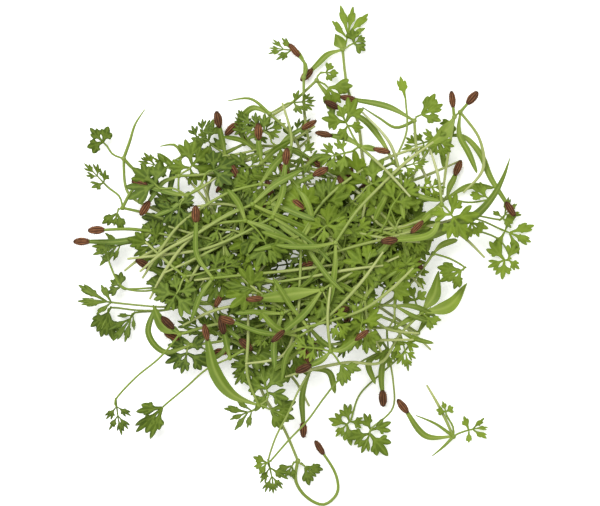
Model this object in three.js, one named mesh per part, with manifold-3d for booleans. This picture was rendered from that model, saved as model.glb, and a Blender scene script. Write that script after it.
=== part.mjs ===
// Cut carrot microgreens in a loose heap, as they lie on a flat surface after harvest.
// Each seedling has a pale stem cut off at its foot, long narrow seed leaves, some of which still hold the
// brown husk of the seed on their tips, and one or two small cut true leaves on thin stalks.
// Millimetres, +Z up, the surface at z = 0 and the origin on it under the middle of the heap.
// Seedlings are laid down one after another: each keeps the place that its list entry gives it in plan, and
// its heights follow from what already lies below it, so that no seedling runs through another.

import * as THREE from 'three';
import { mergeVertices } from 'three/addons/utils/BufferGeometryUtils.js';
import Module from 'manifold-3d';

const wasm = await Module();
wasm.setup();

// Driving dimensions
const STEM_WIDTH = 1.0;
const STALK_WIDTH = 0.76;
const SEED_LEAF_WIDTH = 1.9;
const BROAD_SEED_LEAF_WIDTH = 2.7;
const THIN_SEED_LEAF_WIDTH = 1.0;
const BLADE_THICKNESS = 0.6;
const CROWN_WIDTH = 1.3;
const CROWN_HEIGHT = 0.9;
const HUSK_LENGTH = 3.4;
const HUSK_WIDTH = 1.6;
const HUSK_THICKNESS = 1.24;
const HUSK_GAP = 0.25;
const HUSK_SIDES = 6;
const HUSK_ROWS = 3;
const HUSK_OUTLINE = [[0.25, 1], [0.7, 0.9], [1, 0.3]];
const CLEARANCE = 0.25;
const PLAN_CENTRE = [0.2, -0.7];

// How the heap is laid: the height map's extent and cell, and how far a cell's corner lies from its middle
const HALF_SPAN = 54;
const CELL = 0.25;
const CELL_REACH = 0.18;
const SMOOTHING_PASSES = 8;
const CROWN_REACH = 14;
const FEWEST_STEPS = 2;
const MOST_ALIKE = -0.2;
const SAME_POINT = 1e-5;

// The seeded draws: where they start, and the factor, step and range of the congruence they go on by
const SEED = 20;
const DRAW_FACTOR = 1664525;
const DRAW_STEP = 1013904223;
const DRAW_RANGE = 2 ** 32;

// What each strand is like: its radius of bending is how sharply it can arch over what it lies on
const SECTION = [[-1, 1], [-1, -1], [1, -1], [1, 1]];
const EVEN = () => 1;
const LANCE_FROM = 0.12;
const LANCE_TO = 0.91;
const LANCE = (share) => Math.sin(Math.PI * (LANCE_FROM + (LANCE_TO - LANCE_FROM) * share));
const STEM = { width: STEM_WIDTH, height: 0.9, step: 6.6, bend: 32, taper: EVEN };
const STALK = { width: STALK_WIDTH, height: 0.7, step: 5.4, bend: 17, taper: EVEN };
const PLAIN = { width: SEED_LEAF_WIDTH, height: BLADE_THICKNESS, step: 5, bend: 14, taper: LANCE };
const BROAD = { ...PLAIN, width: BROAD_SEED_LEAF_WIDTH };
const THIN = { ...STALK, width: THIN_SEED_LEAF_WIDTH, step: 4 };

// Cut true leaves: pairs are leaflets as [share of the length where they leave the rib, degrees, share of the
// length that they have], end is the share of the leaflet at the tip, and slim is half a leaflet's width over
// its length
const FERN = { pairs: [[0.14, 68, 0.46], [0.42, 52, 0.4]], end: 0.42, slim: 0.34 };
const FAN = { pairs: [[0, 124, 0.64], [0.14, 62, 0.88]], end: 0.78, slim: 0.36 };
const NARROW = { pairs: [[0.16, 44, 0.5], [0.42, 36, 0.44]], end: 0.42, slim: 0.22 };
const TREFOIL = { pairs: [[0.16, 66, 0.68]], end: 0.74, slim: 0.38 };
const WEDGE = { pairs: [[0.12, 40, 0.78]], end: 0.84, slim: 0.25 };
const FINGERS = { pairs: [[0.05, 96, 0.62], [0.22, 46, 0.72]], end: 0.74, slim: 0.17 };
const SPRAY = { pairs: [[0.04, 52, 0.5], [0.16, 26, 0.72]], end: 0.84, slim: 0.12 };
const SINGLE = { pairs: [], end: 0.9, slim: 0.2 };
const LEAFLET = [[0.76, 1], [0.66, 0.42], [1, 0], [0.66, -0.42], [0.76, -1]];
const RIB_WIDTH = 0.7;
const LEAFLET_ROOT = 0.8;

// How freely leaves lie: slopes along and across the rib, the drop from the base to the tip and the rise of
// a seed leaf's tip, each drawn between two bounds
const PITCH = [-0.1, 0.22];
const ROLL = [-0.22, 0.22];
const DROP = [0.02, 0.26];
const RISE = [0, 2.5];

// Whether a seed leaf's tip is bare, holds a husk that is a piece of its own, or one modelled with the leaf
const BARE = 'bare';
const OWN_HUSK = 'own';
const JOINED_HUSK = 'joined';

const seedLeaf = (path, husk = BARE) => ({ path, husk, form: PLAIN });
const broadSeedLeaf = (path, husk = BARE) => ({ path, husk, form: BROAD });
const thinSeedLeaf = (path, husk = BARE) => ({ path, husk, form: THIN });
const leaf = (form, path, tip) => ({ form, path, tip, flat: false });
const flatLeaf = (form, path, tip) => ({ form, path, tip, flat: true });

// The seedlings from the lowest to the highest. All places are in plan: the crown is where the leaves leave
// the stem, and each path runs from it, the stem's to the cut foot and a leaf's stalk's to the blade's base.
const SEEDLINGS = [
  // Lies lowest, its first leaf flat on the surface
  {
    crown: [-7.5, -9],
    stem: [[-9.5, -3.5], [-14.5, 2.5], [-18, 7]],
    seedLeaves: [seedLeaf([[-5, -11.5], [-1, -12.5]])],
    leaves: [
      flatLeaf(FERN, [[-5.5, -7], [-3, -5]], [4, -2]),
      leaf(FAN, [[-9.5, -11], [-12, -13]], [-16.5, -17.5]),
    ],
  },
  // Lies low on the right
  {
    crown: [13.5, 4.5],
    stem: [[18, 9], [21.5, 14], [23, 17.5]],
    seedLeaves: [seedLeaf([[10.5, 1.5], [8.5, -2.5]])],
    leaves: [leaf(FERN, [[11, 6.5], [9, 8]], [2, 11.5]), leaf(FAN, [[16.5, 3], [19, 0.5]], [23.5, -3.5])],
  },
  // Lies low on the left
  {
    crown: [-19, 2.5],
    stem: [[-14.5, -2], [-7.5, -4.5], [0, -3.5]],
    seedLeaves: [seedLeaf([[-21, 5], [-23.5, 9]])],
    leaves: [
      leaf(FERN, [[-21, -0.5], [-22.5, -3.5]], [-27, -9]),
      leaf(FAN, [[-21.5, 4], [-24.5, 6]], [-28.5, 10]),
    ],
  },
  // Top sprig
  {
    crown: [8, 39],
    stem: [[7.5, 36], [9.5, 30], [11.5, 21.5], [12.5, 15.5], [14, 10.5]],
    seedLeaves: [
      seedLeaf([[6, 38], [4, 37.5], [2.5, 35.5]], OWN_HUSK),
      broadSeedLeaf([[7.5, 40.5], [6.5, 42]]),
    ],
    leaves: [leaf(SPRAY, [[8.7, 40.6]], [10.4, 47.8]), leaf(TREFOIL, [[9.3, 39.8]], [12.6, 41.4])],
  },
  // Below the top sprig
  {
    crown: [3, 33],
    stem: [[0, 30.5], [-3, 28], [-7.5, 25], [-11, 21]],
    seedLeaves: [seedLeaf([[5, 30.5], [6, 27.5], [5.5, 23.5]])],
    leaves: [leaf(TREFOIL, [[3, 34], [4, 34.5]], [7, 34.5]), leaf(WEDGE, [[4.6, 32.2]], [8, 28.8])],
  },
  // Small sprig above the heap
  {
    crown: [0.5, 33.5],
    stem: [[0.5, 30], [1, 24], [2, 19]],
    seedLeaves: [thinSeedLeaf([[1, 35.2], [0.8, 36.8], [-0.2, 37.3]], JOINED_HUSK)],
    leaves: [leaf(NARROW, [[0.6, 35.5], [0.3, 37.8], [-0.6, 38.6]], [-6.4, 39.3])],
  },
  // Upper left loop
  {
    crown: [-6, 26.5],
    stem: [[-2, 23.5], [0, 19], [0.5, 14]],
    seedLeaves: [
      seedLeaf([[-7.5, 28], [-9.5, 27.5], [-11.5, 26.5], [-12, 25]], OWN_HUSK),
      thinSeedLeaf([[-7.5, 28.5], [-10, 29.5], [-12, 30], [-14, 29]]),
    ],
    leaves: [leaf(FERN, [[-4, 28], [-2.5, 28.5]], [3, 29])],
  },
  // Upper left, upright husk
  {
    crown: [-14.5, 18.5],
    stem: [[-16.5, 15.5], [-18, 10.5], [-17, 4], [-12.5, 0]],
    seedLeaves: [
      seedLeaf([[-15, 21], [-15.5, 23.5]], OWN_HUSK),
      seedLeaf([[-12.5, 17.5], [-9.5, 15.5], [-8, 12.5]]),
    ],
    leaves: [leaf(FAN, [[-16, 20], [-17, 20.5]], [-19.5, 23.5])],
  },
  // Far left, upper frond
  {
    crown: [-34, 18],
    stem: [[-33.5, 14], [-32.5, 10.5], [-28.5, 8.5], [-21.5, 5.5]],
    seedLeaves: [
      thinSeedLeaf([[-32.6, 22], [-31.5, 25.5], [-30, 27.5]]),
      thinSeedLeaf([[-32, 15.9], [-29, 15.6], [-25, 16.4]]),
    ],
    leaves: [leaf(TREFOIL, [[-35.8, 18.4], [-37.2, 20.4]], [-40.4, 23.6])],
  },
  // Far left, lower frond
  {
    crown: [-34, 8.5],
    stem: [[-30.5, 7.5], [-26.5, 6.5], [-16.5, 2], [-11.5, -0.5]],
    seedLeaves: [thinSeedLeaf([[-32.4, 11.6], [-29, 14.4], [-25.5, 16]])],
    leaves: [
      leaf(FERN, [[-34.8, 10.8], [-36.8, 12.4]], [-41.2, 17]),
      leaf(WEDGE, [[-34.8, 8.2]], [-35.8, 4.8]),
    ],
  },
  // Far left, two husks
  {
    crown: [-28.5, 4],
    stem: [[-24, 3], [-16.5, 0.5], [-9.5, -2]],
    seedLeaves: [
      thinSeedLeaf([[-31.5, 4.6], [-34.5, 4.2], [-37.2, 4.3]], JOINED_HUSK),
      seedLeaf([[-31, 3], [-35.5, 1.9], [-40, 2.1]], OWN_HUSK),
    ],
    leaves: [leaf(SPRAY, [[-31, 2.4], [-34, 1.6]], [-40, -0.4]), leaf(FAN, [[-27.4, 2.2]], [-31.6, -0.8])],
  },
  // Left, small leaf
  {
    crown: [-25.5, -6.5],
    stem: [[-19, -6], [-11, -7]],
    seedLeaves: [seedLeaf([[-26, -4.5], [-28.5, -3]], JOINED_HUSK)],
    leaves: [
      leaf(NARROW, [[-29.5, -7.2], [-33.5, -7.2], [-35.2, -5.4], [-36.2, -2.6]], [-37.4, 1.6]),
      leaf(TREFOIL, [[-29.5, -6.8], [-33.8, -7]], [-36.8, -5.4]),
    ],
  },
  // Left frond
  {
    crown: [-21, -10],
    stem: [[-14.5, -9], [-7, -7]],
    seedLeaves: [seedLeaf([[-22, -8.5], [-24, -8]], JOINED_HUSK), seedLeaf([[-19, -13], [-16, -16]])],
    leaves: [
      leaf(SPRAY, [[-26, -10.4], [-31, -10.2], [-35.6, -9.6]], [-43, -8.6]),
      leaf(WEDGE, [[-26, -10.8], [-31.5, -10.9], [-36.5, -10.6]], [-39, -16.2]),
      leaf(SPRAY, [[-26, -11.2], [-32, -11.6]], [-35.4, -16.6]),
    ],
  },
  // Lower left loop
  {
    crown: [-20.8, -17.6],
    stem: [[-14.5, -17], [-8, -14.5], [-1.5, -14]],
    seedLeaves: [
      seedLeaf([[-24, -18.9], [-27.2, -18.6], [-29, -16.4], [-28.4, -13.6], [-27.5, -10]]),
      seedLeaf([[-21.6, -17.2], [-23, -16.6]], JOINED_HUSK),
    ],
    leaves: [leaf(FAN, [[-21.6, -18]], [-22.2, -23.4]), leaf(FERN, [[-19, -18]], [-16.4, -19.6])],
  },
  // Lower left, long stalk
  {
    crown: [-23, -15.5],
    stem: [[-16.5, -14], [-9.5, -13]],
    seedLeaves: [
      seedLeaf([[-24, -14.5]], JOINED_HUSK),
      broadSeedLeaf([[-24.8, -14.4], [-27, -12.8], [-28, -9.8]]),
    ],
    leaves: [leaf(NARROW, [[-27, -19.8], [-31.5, -24], [-35.2, -27.9]], [-34.4, -34.6])],
  },
  // Bottom left fan
  {
    crown: [-13.5, -20],
    stem: [[-9.5, -17.5], [-3, -14.5]],
    seedLeaves: [seedLeaf([[-14, -17.5], [-14.5, -15.5]], JOINED_HUSK)],
    leaves: [leaf(WEDGE, [[-16.5, -21.4], [-21, -25.2], [-25.6, -28.8]], [-31, -33.8])],
  },
  // Bottom loop
  {
    crown: [-0.6, -40],
    stem: [[-3.6, -33], [-7.2, -28], [-9.5, -21]],
    seedLeaves: [
      thinSeedLeaf(
        [[-1, -44], [0.5, -46.5], [3.5, -48.5], [6.5, -47.5], [7, -44.5], [6.2, -41.4], [4.6, -39.2]],
        OWN_HUSK,
      ),
    ],
    leaves: [leaf(WEDGE, [[-1.4, -40.4]], [-2.8, -43]), leaf(WEDGE, [[0.2, -40.6]], [3.2, -43.4])],
  },
  // Bottom left strap
  {
    crown: [-8, -29],
    stem: [[-10, -24.5], [-10, -20.5], [-10, -10]],
    seedLeaves: [
      broadSeedLeaf([[-11, -28], [-14, -26], [-16, -23.5], [-16.5, -19.5], [-17.5, -17]], OWN_HUSK),
    ],
    leaves: [
      leaf(SPRAY, [[-8.8, -29.8]], [-14, -31.7]),
      leaf(FAN, [[-6.8, -28.6], [-6.2, -27]], [-8.2, -21.4]),
      leaf(WEDGE, [[-6.6, -29.4]], [-1.4, -31.8]),
    ],
  },
  // Bottom, forked
  {
    crown: [1.8, -22.2],
    stem: [[1.8, -18], [1.5, -12.5]],
    seedLeaves: [
      seedLeaf([[0.6, -25], [0.2, -28.5], [0.4, -32]], OWN_HUSK),
      seedLeaf([[4.2, -21.4], [5.8, -23.8], [6.5, -27]]),
    ],
    leaves: [leaf(NARROW, [[-0.6, -27], [-3.4, -32.4], [-6.2, -39.4]], [-4.8, -45.8])],
  },
  // Bottom right, long stalk
  {
    crown: [22.5, -15.5],
    stem: [[19, -13], [13, -9.5], [8.5, -6.5]],
    seedLeaves: [seedLeaf([[24, -13], [25, -10.5]])],
    leaves: [leaf(FAN, [[18.2, -21.2], [13.1, -25.2], [10.4, -28.8], [9.6, -32.2]], [6.4, -35.6])],
  },
  // Bottom, dark husk
  {
    crown: [16.5, -18.5],
    stem: [[14, -14.5], [11, -9], [9.5, -3.5]],
    seedLeaves: [
      seedLeaf([[15.6, -21], [15.3, -23.5], [15.6, -26]], OWN_HUSK),
      seedLeaf([[13.4, -20], [13, -22.6], [14.2, -25.2]]),
    ],
    leaves: [
      leaf(FAN, [[17.6, -23], [17.6, -28.5], [16.8, -32.6], [13.6, -33.7]], [11.6, -39]),
      leaf(WEDGE, [[13, -19.8], [5.2, -26], [0.9, -32.4], [-5.8, -39.4]], [-8.8, -40.6]),
    ],
  },
  // Loose sprig at the lower right
  {
    crown: [29.3, -35.4],
    stem: [[28.4, -33.4], [27.2, -30.8], [24.2, -25.5]],
    seedLeaves: [
      seedLeaf([[26.5, -36], [23.5, -35], [21.5, -33.4], [20.6, -30.9]], OWN_HUSK),
      thinSeedLeaf([[27.4, -33.6], [24.8, -32.5], [22, -31.2]]),
      thinSeedLeaf([[27.5, -37.2], [25.1, -39]]),
    ],
    leaves: [
      leaf(FINGERS, [[30.4, -34.8], [31.6, -34.3]], [36.4, -33.2]),
      leaf(TREFOIL, [[28.9, -33.2], [28, -31.4]], [27.4, -28.8]),
    ],
  },
  // Right, two broad seed leaves
  {
    crown: [23, -11.5],
    stem: [[19, -15.5], [15, -20.5], [7.5, -21], [-3, -23.5]],
    seedLeaves: [
      broadSeedLeaf([[24.8, -9], [26, -6.2], [26.4, -3.4]]),
      broadSeedLeaf([[25.4, -11.6], [28.6, -9.8], [32, -5.8]]),
    ],
    leaves: [leaf(TREFOIL, [[22, -10]], [21, -6.5]), leaf(WEDGE, [[23.6, -12]], [25.8, -14])],
  },
  // Right, pale fan
  {
    crown: [25.2, -0.2],
    stem: [[22.8, -4], [18, -8.2], [13, -11.5], [8.5, -16.5]],
    seedLeaves: [seedLeaf([[27, 1.6], [30, 2.4]])],
    leaves: [leaf(WEDGE, [[27.4, -0.9], [31.2, -2.9]], [27, -5.6])],
  },
  // Right frond
  {
    crown: [26.5, 5.5],
    stem: [[30, 3.5], [35, -1]],
    seedLeaves: [seedLeaf([[24.5, 3], [24, 0]])],
    leaves: [
      leaf(FINGERS, [[30, 7], [34, 7.2], [38.2, 6.3]], [41.2, 9.4]),
      leaf(FINGERS, [[30.2, 6.2], [35, 6], [38.6, 4.4]], [44, 2.2]),
      leaf(FAN, [[31, 4.6], [37, 3.2], [41, 1.2], [40.2, -1.2]], [35.6, -2.4]),
      leaf(WEDGE, [[29, 5.8], [32, 6.4]], [34, 2.6]),
    ],
  },
  // Right, upright husk
  {
    crown: [28, 10.5],
    stem: [[24.5, 7], [20.5, 2.5], [18, -2]],
    seedLeaves: [
      seedLeaf([[28.6, 12.4], [29.4, 14.4]], OWN_HUSK),
      seedLeaf([[30.6, 11.6], [33.6, 13.2], [37.2, 12.4]]),
    ],
    leaves: [
      leaf(FERN, [[26.5, 10], [25, 10]], [20, 12]),
      leaf(WEDGE, [[31.5, 9.6], [36, 10.2]], [32.8, 13]),
    ],
  },
  // Upper right arc
  {
    crown: [26, 22],
    stem: [[23.5, 18.5], [20, 12.5], [16, 7], [11, 2]],
    seedLeaves: [
      seedLeaf([[30, 22.5], [33, 21], [35, 17.5], [36.5, 14], [39, 10]], OWN_HUSK),
      seedLeaf([[27, 19.5], [27.5, 16]]),
    ],
    leaves: [leaf(FERN, [[24.6, 21.4]], [19.6, 19.8])],
  },
  // Upper right, outer husk
  {
    crown: [30.4, 26.8],
    stem: [[32.9, 23.4], [34.9, 20.6], [35.2, 17.6], [34, 14.2], [31, 11.4]],
    seedLeaves: [
      thinSeedLeaf([[31.6, 28.2]], JOINED_HUSK),
      seedLeaf([[30.2, 22.4], [32.2, 18.6], [33.6, 15]]),
    ],
    leaves: [leaf(WEDGE, [[29.4, 25.6]], [27.6, 23])],
  },
  // Upper right, inner husk
  {
    crown: [29.2, 25.8],
    stem: [[28.5, 22.5], [28, 18.5], [27, 11]],
    seedLeaves: [
      thinSeedLeaf([[29, 27.4]], JOINED_HUSK),
      broadSeedLeaf([[28.4, 23.8], [26.4, 22], [23.5, 20.2]]),
    ],
    leaves: [leaf(FAN, [[27.4, 23.6], [25.6, 22]], [27.6, 18.2])],
  },
  // Top right, paired seed leaves
  {
    crown: [21.5, 25],
    stem: [[21, 21.5], [23.5, 15], [26, 10.5]],
    seedLeaves: [
      seedLeaf([[19, 26.5], [16, 28], [13.5, 28.5], [11, 29]], OWN_HUSK),
      thinSeedLeaf([[20, 24], [17.5, 23.9], [14, 26.4], [11.8, 27.8]]),
    ],
    leaves: [leaf(WEDGE, [[22, 25.8]], [26.8, 27.8])],
  },
  // Top right, long curve
  {
    crown: [17.5, 17],
    stem: [[9.5, 14], [4.5, 14.5], [-3, 17.5]],
    seedLeaves: [seedLeaf([[16, 19.5], [14.5, 22.5], [12.5, 25], [10, 26.5], [7.5, 27.5]], JOINED_HUSK)],
    leaves: [
      leaf(SINGLE, [[19.5, 20.5], [20.5, 24.5], [19.8, 29]], [19.2, 32.8]),
      leaf(FERN, [[18.5, 16]], [24, 17.5]),
    ],
  },
  // Upper left, great husk
  {
    crown: [-22.5, 18.5],
    stem: [[-18, 17.5], [-12.5, 19], [-7, 20]],
    seedLeaves: [
      seedLeaf([[-24, 16], [-25, 12]], OWN_HUSK),
      thinSeedLeaf([[-23.6, 20.4], [-26.8, 20.2]]),
    ],
    leaves: [
      leaf(FERN, [[-21.5, 20], [-20.5, 21]], [-17, 25]),
      leaf(WEDGE, [[-24.4, 17.6], [-26.4, 15.6]], [-30.4, 12.2]),
    ],
  },
  // Top centre, two fans
  {
    crown: [-7.5, 17],
    stem: [[-6, 12.5], [-4, 7], [0, 2.5]],
    seedLeaves: [seedLeaf([[-8, 19.5], [-8, 21]], OWN_HUSK), seedLeaf([[-5, 19.5], [-1.5, 21.5]])],
    leaves: [leaf(FAN, [[-5.5, 16.5]], [-1.5, 16.5]), leaf(FAN, [[-9, 16.5]], [-13, 15.5])],
  },
  // Centre left, two husks
  {
    crown: [-8, 7.5],
    stem: [[-2, 9], [6.5, 10], [10.5, 14]],
    seedLeaves: [
      seedLeaf([[-10, 10.5], [-12, 14]], JOINED_HUSK),
      seedLeaf([[-11.5, 6.5], [-14, 6.5]], JOINED_HUSK),
    ],
    leaves: [leaf(FERN, [[-8.5, 4.5], [-9.5, 3]], [-13, -5])],
  },
  // Centre right
  {
    crown: [9.5, 9.5],
    stem: [[5, 2.5], [0, -3], [-8.5, -6.5]],
    seedLeaves: [thinSeedLeaf([[8.5, 11.5]], JOINED_HUSK), seedLeaf([[13.5, 7.5], [18, 6.5]])],
    leaves: [leaf(FAN, [[11.5, 11.5], [12.5, 12.5]], [18.5, 15.5]), leaf(FERN, [[7.5, 8]], [2, 9])],
  },
  // Right, great seed leaf
  {
    crown: [15, 4],
    stem: [[9.5, 5], [1, 4.5], [-6, -1], [-9.5, -6]],
    seedLeaves: [
      broadSeedLeaf(
        [[19, 3], [22.5, 3], [26.5, 4], [30, 6], [34, 7.5], [36.5, 11], [38.5, 14.5], [40, 18.5]],
      ),
      seedLeaf([[11.5, 2], [8.5, -0.5], [6, -3.5]]),
    ],
    leaves: [leaf(FERN, [[16, 6.5], [17, 8.5]], [21, 14.5])],
  },
  // Centre, two husks
  {
    crown: [12.5, -5.5],
    stem: [[8.5, -0.5], [4.5, 2.5], [1.5, 6]],
    seedLeaves: [
      seedLeaf([[13.5, -7.5], [13, -9.5]], JOINED_HUSK),
      seedLeaf([[10.5, -7.5], [9.5, -10.5]], JOINED_HUSK),
    ],
    leaves: [leaf(FERN, [[15.5, -5], [17, -4.5]], [22.5, -1])],
  },
  // Centre, lower
  {
    crown: [8, -8.5],
    stem: [[11.5, -5], [15.5, -1]],
    seedLeaves: [seedLeaf([[6, -10], [4.5, -10.5]], JOINED_HUSK), seedLeaf([[7, -12], [9, -16]])],
    leaves: [leaf(FERN, [[5.5, -7], [4, -6.5]], [-3, -3.5]), leaf(FAN, [[10, -10]], [14, -13])],
  },
  // Long stem down the middle
  {
    crown: [0, 2],
    stem: [[-0.5, -9], [-3, -19], [-10.5, -21]],
    seedLeaves: [
      seedLeaf([[2, 7], [0, 11.5], [-2, 14]], JOINED_HUSK),
      seedLeaf([[-3.5, 5], [-5.5, 10.5]], JOINED_HUSK),
    ],
    leaves: [leaf(FAN, [[3, 3.5], [4, 4.5]], [8.5, 7.5])],
  },
  // Left of centre
  {
    crown: [-22, -4.5],
    stem: [[-26, -1], [-29.5, 2]],
    seedLeaves: [seedLeaf([[-20, -8.5], [-21.5, -11.5]])],
    leaves: [leaf(FERN, [[-19, -4], [-17.5, -3.5]], [-11, -2]), leaf(FAN, [[-23, -7]], [-25.5, -11])],
  },
  // Left, crossing stem
  {
    crown: [-10.5, 6],
    stem: [[-16.5, 5.5], [-23.5, 2]],
    seedLeaves: [seedLeaf([[-6, 4.5], [-0.5, 1]]), seedLeaf([[-11.5, 9], [-14, 12]])],
    leaves: [leaf(FAN, [[-8, 4], [-7, 2.5]], [-5, -2])],
  },
  // Top, crossing stem
  {
    crown: [11, 20],
    stem: [[15, 16.5], [20.5, 10.5]],
    seedLeaves: [seedLeaf([[13.5, 19.5]], JOINED_HUSK), seedLeaf([[8.5, 21.5], [6, 22]], JOINED_HUSK)],
    leaves: [leaf(FAN, [[9.5, 22.5], [9, 23.5]], [6.5, 28]), leaf(FERN, [[9.5, 19]], [3, 17.5])],
  },
  // Right of centre, flat husk
  {
    crown: [26.5, 9],
    stem: [[26, 14], [24.5, 19.5]],
    seedLeaves: [
      seedLeaf([[24.5, 7.5], [23, 6]], JOINED_HUSK),
      seedLeaf([[24.5, 3.5], [21, 2.5], [18.5, 2.5]], OWN_HUSK),
    ],
    leaves: [leaf(FAN, [[28, 7.5]], [31.5, 3])],
  },
  // Lower centre, long strap
  {
    crown: [4, -7],
    stem: [[8.5, -4.5], [13.5, -2]],
    seedLeaves: [
      broadSeedLeaf([[0, -7.5], [-4, -8.5], [-7, -8.5]], JOINED_HUSK),
      seedLeaf([[1.5, -10.5], [-3, -14.5]], JOINED_HUSK),
    ],
    leaves: [leaf(FERN, [[5, -9], [5.5, -10.5]], [8.5, -16.5])],
  },
  // Lower middle
  {
    crown: [5.5, -18.5],
    stem: [[5, -13], [5.5, -6.5]],
    seedLeaves: [
      seedLeaf([[8, -18], [10, -16.5]], JOINED_HUSK),
      seedLeaf([[4, -20], [2, -21]], JOINED_HUSK),
    ],
    leaves: [leaf(WEDGE, [[7, -20.4]], [9.6, -23.8]), leaf(FERN, [[3.5, -18]], [-1.5, -17.5])],
  },
];

/** Even draws from 0 to 1, the same ones for the same seed. */
function makeRandom(seed) {
  let state = seed >>> 0;
  return () => {
    state = (Math.imul(state, DRAW_FACTOR) + DRAW_STEP) >>> 0;
    return state / DRAW_RANGE;
  };
}

const between = (random, [low, high]) => low + (high - low) * random();

/** The height of the heap's top over a square grid, and the cells under strands and blades. */
class HeightField {
  constructor() {
    this.side = Math.ceil((2 * HALF_SPAN) / CELL);
    this.tops = new Float64Array(this.side * this.side);
  }

  cellOf(value) {
    return Math.min(this.side - 1, Math.max(0, Math.floor((value + HALF_SPAN) / CELL)));
  }

  visitBox(points, reach, visit) {
    const xs = points.map((point) => point.x);
    const ys = points.map((point) => point.y);
    const lastRow = this.cellOf(Math.max(...ys) + reach);
    const lastColumn = this.cellOf(Math.max(...xs) + reach);
    for (let row = this.cellOf(Math.min(...ys) - reach); row <= lastRow; row += 1) {
      for (let column = this.cellOf(Math.min(...xs) - reach); column <= lastColumn; column += 1) {
        const x = (column + 0.5) * CELL - HALF_SPAN;
        const y = (row + 0.5) * CELL - HALF_SPAN;
        visit(row * this.side + column, x, y);
      }
    }
  }

  /** Visits the cells within reach of the line from a to b, with how far along it each one lies. */
  visitLine(a, b, reach, visit) {
    const dx = b.x - a.x;
    const dy = b.y - a.y;
    const squared = dx * dx + dy * dy;
    this.visitBox([a, b], reach, (index, x, y) => {
      const share = squared > 0 ? ((x - a.x) * dx + (y - a.y) * dy) / squared : 0;
      const clamped = Math.min(1, Math.max(0, share));
      const gap = Math.hypot(a.x + dx * clamped - x, a.y + dy * clamped - y);
      if (gap <= reach) {
        visit(index, clamped);
      }
    });
  }

  /** Visits the cells under a triangle, with its height over each and how much that changes across a cell. */
  visitTriangle([a, b, c], visit) {
    const area = (b.x - a.x) * (c.y - a.y) - (c.x - a.x) * (b.y - a.y);
    const slopeX = ((b.z - a.z) * (c.y - a.y) - (c.z - a.z) * (b.y - a.y)) / area;
    const slopeY = ((c.z - a.z) * (b.x - a.x) - (b.z - a.z) * (c.x - a.x)) / area;
    const margin = CELL_REACH * Math.hypot(slopeX, slopeY);
    const edges = [[a, b], [b, c], [c, a]];
    this.visitBox([a, b, c], CELL_REACH, (index, x, y) => {
      const inside = edges.every(([from, to]) => {
        const across = (to.x - from.x) * (y - from.y) - (to.y - from.y) * (x - from.x);
        return (Math.sign(area) * across) / Math.hypot(to.x - from.x, to.y - from.y) >= -CELL_REACH;
      });
      if (inside) {
        visit(index, a.z + slopeX * (x - a.x) + slopeY * (y - a.y), margin);
      }
    });
  }

  /** The height that the underside of something over this cell keeps to. */
  floorAt(index) {
    return this.tops[index] > 0 ? this.tops[index] + CLEARANCE : 0;
  }

  floorUnderLine(a, b, reach) {
    let highest = 0;
    this.visitLine(a, b, reach, (index) => {
      highest = Math.max(highest, this.floorAt(index));
    });
    return highest;
  }

  raise(index, height) {
    this.tops[index] = Math.max(this.tops[index], height);
  }
}

/** Places along a smooth plan curve through the crown and the path's points, in steps of about one length. */
function planStations(crown, path, step) {
  const points = [crown, ...path].map(([x, y]) => new THREE.Vector3(x, y, 0));
  const curve = new THREE.CatmullRomCurve3(points, false, 'catmullrom');
  const count = Math.max(FEWEST_STEPS, Math.round(curve.getLength() / step));
  return curve.getSpacedPoints(count);
}

/** A strand in plan: each station has its place, its distance along and its half width and half height. */
function planStrand(crown, path, form) {
  const places = planStations(crown, path, form.step);
  let along = 0;
  const stations = places.map((place, i) => {
    along += i > 0 ? place.distanceTo(places[i - 1]) : 0;
    const halfWidth = (form.width / 2) * form.taper(i / (places.length - 1));
    return { x: place.x, y: place.y, along, halfWidth, halfHeight: form.height / 2 };
  });
  return { form, stations, husk: BARE };
}

/** The place a distance beyond the strand's end, in the direction that it ends in. */
function beyond(stations, distance) {
  const last = stations[stations.length - 1];
  const previous = stations[stations.length - 2];
  const length = Math.hypot(last.x - previous.x, last.y - previous.y);
  return {
    ...last,
    x: last.x + ((last.x - previous.x) / length) * distance,
    y: last.y + ((last.y - previous.y) / length) * distance,
    along: last.along + distance,
  };
}

/** Adds the husk's two ends to a seed leaf's stations, so that it is laid down with the leaf. */
function addHusk(strand, husk) {
  const start = husk === OWN_HUSK ? HUSK_GAP : 0;
  const size = { halfWidth: HUSK_WIDTH / 2, halfHeight: HUSK_THICKNESS / 2 };
  strand.husk = husk;
  strand.huskEnds = [
    { ...beyond(strand.stations, start), ...size },
    { ...beyond(strand.stations, start + HUSK_LENGTH), ...size },
  ];
}

const allStations = ({ stations, huskEnds = [] }) => [...stations, ...huskEnds];

/** The lowest height of each station's middle that clears what lies below the strand. */
function heightsNeeded(field, stations) {
  const needed = stations.map((station) => station.halfHeight);
  for (let i = 0; i + 1 < stations.length; i += 1) {
    const reach = Math.max(stations[i].halfWidth, stations[i + 1].halfWidth) + CELL_REACH;
    const floor = field.floorUnderLine(stations[i], stations[i + 1], reach);
    needed[i] = Math.max(needed[i], floor + stations[i].halfHeight);
    needed[i + 1] = Math.max(needed[i + 1], floor + stations[i + 1].halfHeight);
  }
  return needed;
}

/** Heights that clear the needed ones and bend no more sharply than the strand can. */
function drape(needed, stations, bend) {
  const heights = stations.map(({ along }) => {
    const arches = needed.map((height, j) => height - (along - stations[j].along) ** 2 / (2 * bend));
    return Math.max(...arches);
  });
  for (let pass = 0; pass < SMOOTHING_PASSES; pass += 1) {
    for (let i = 1; i + 1 < heights.length; i += 1) {
      const even = (heights[i - 1] + 2 * heights[i] + heights[i + 1]) / 4;
      heights[i] = Math.max(needed[i], even);
    }
  }
  return heights;
}

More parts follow.
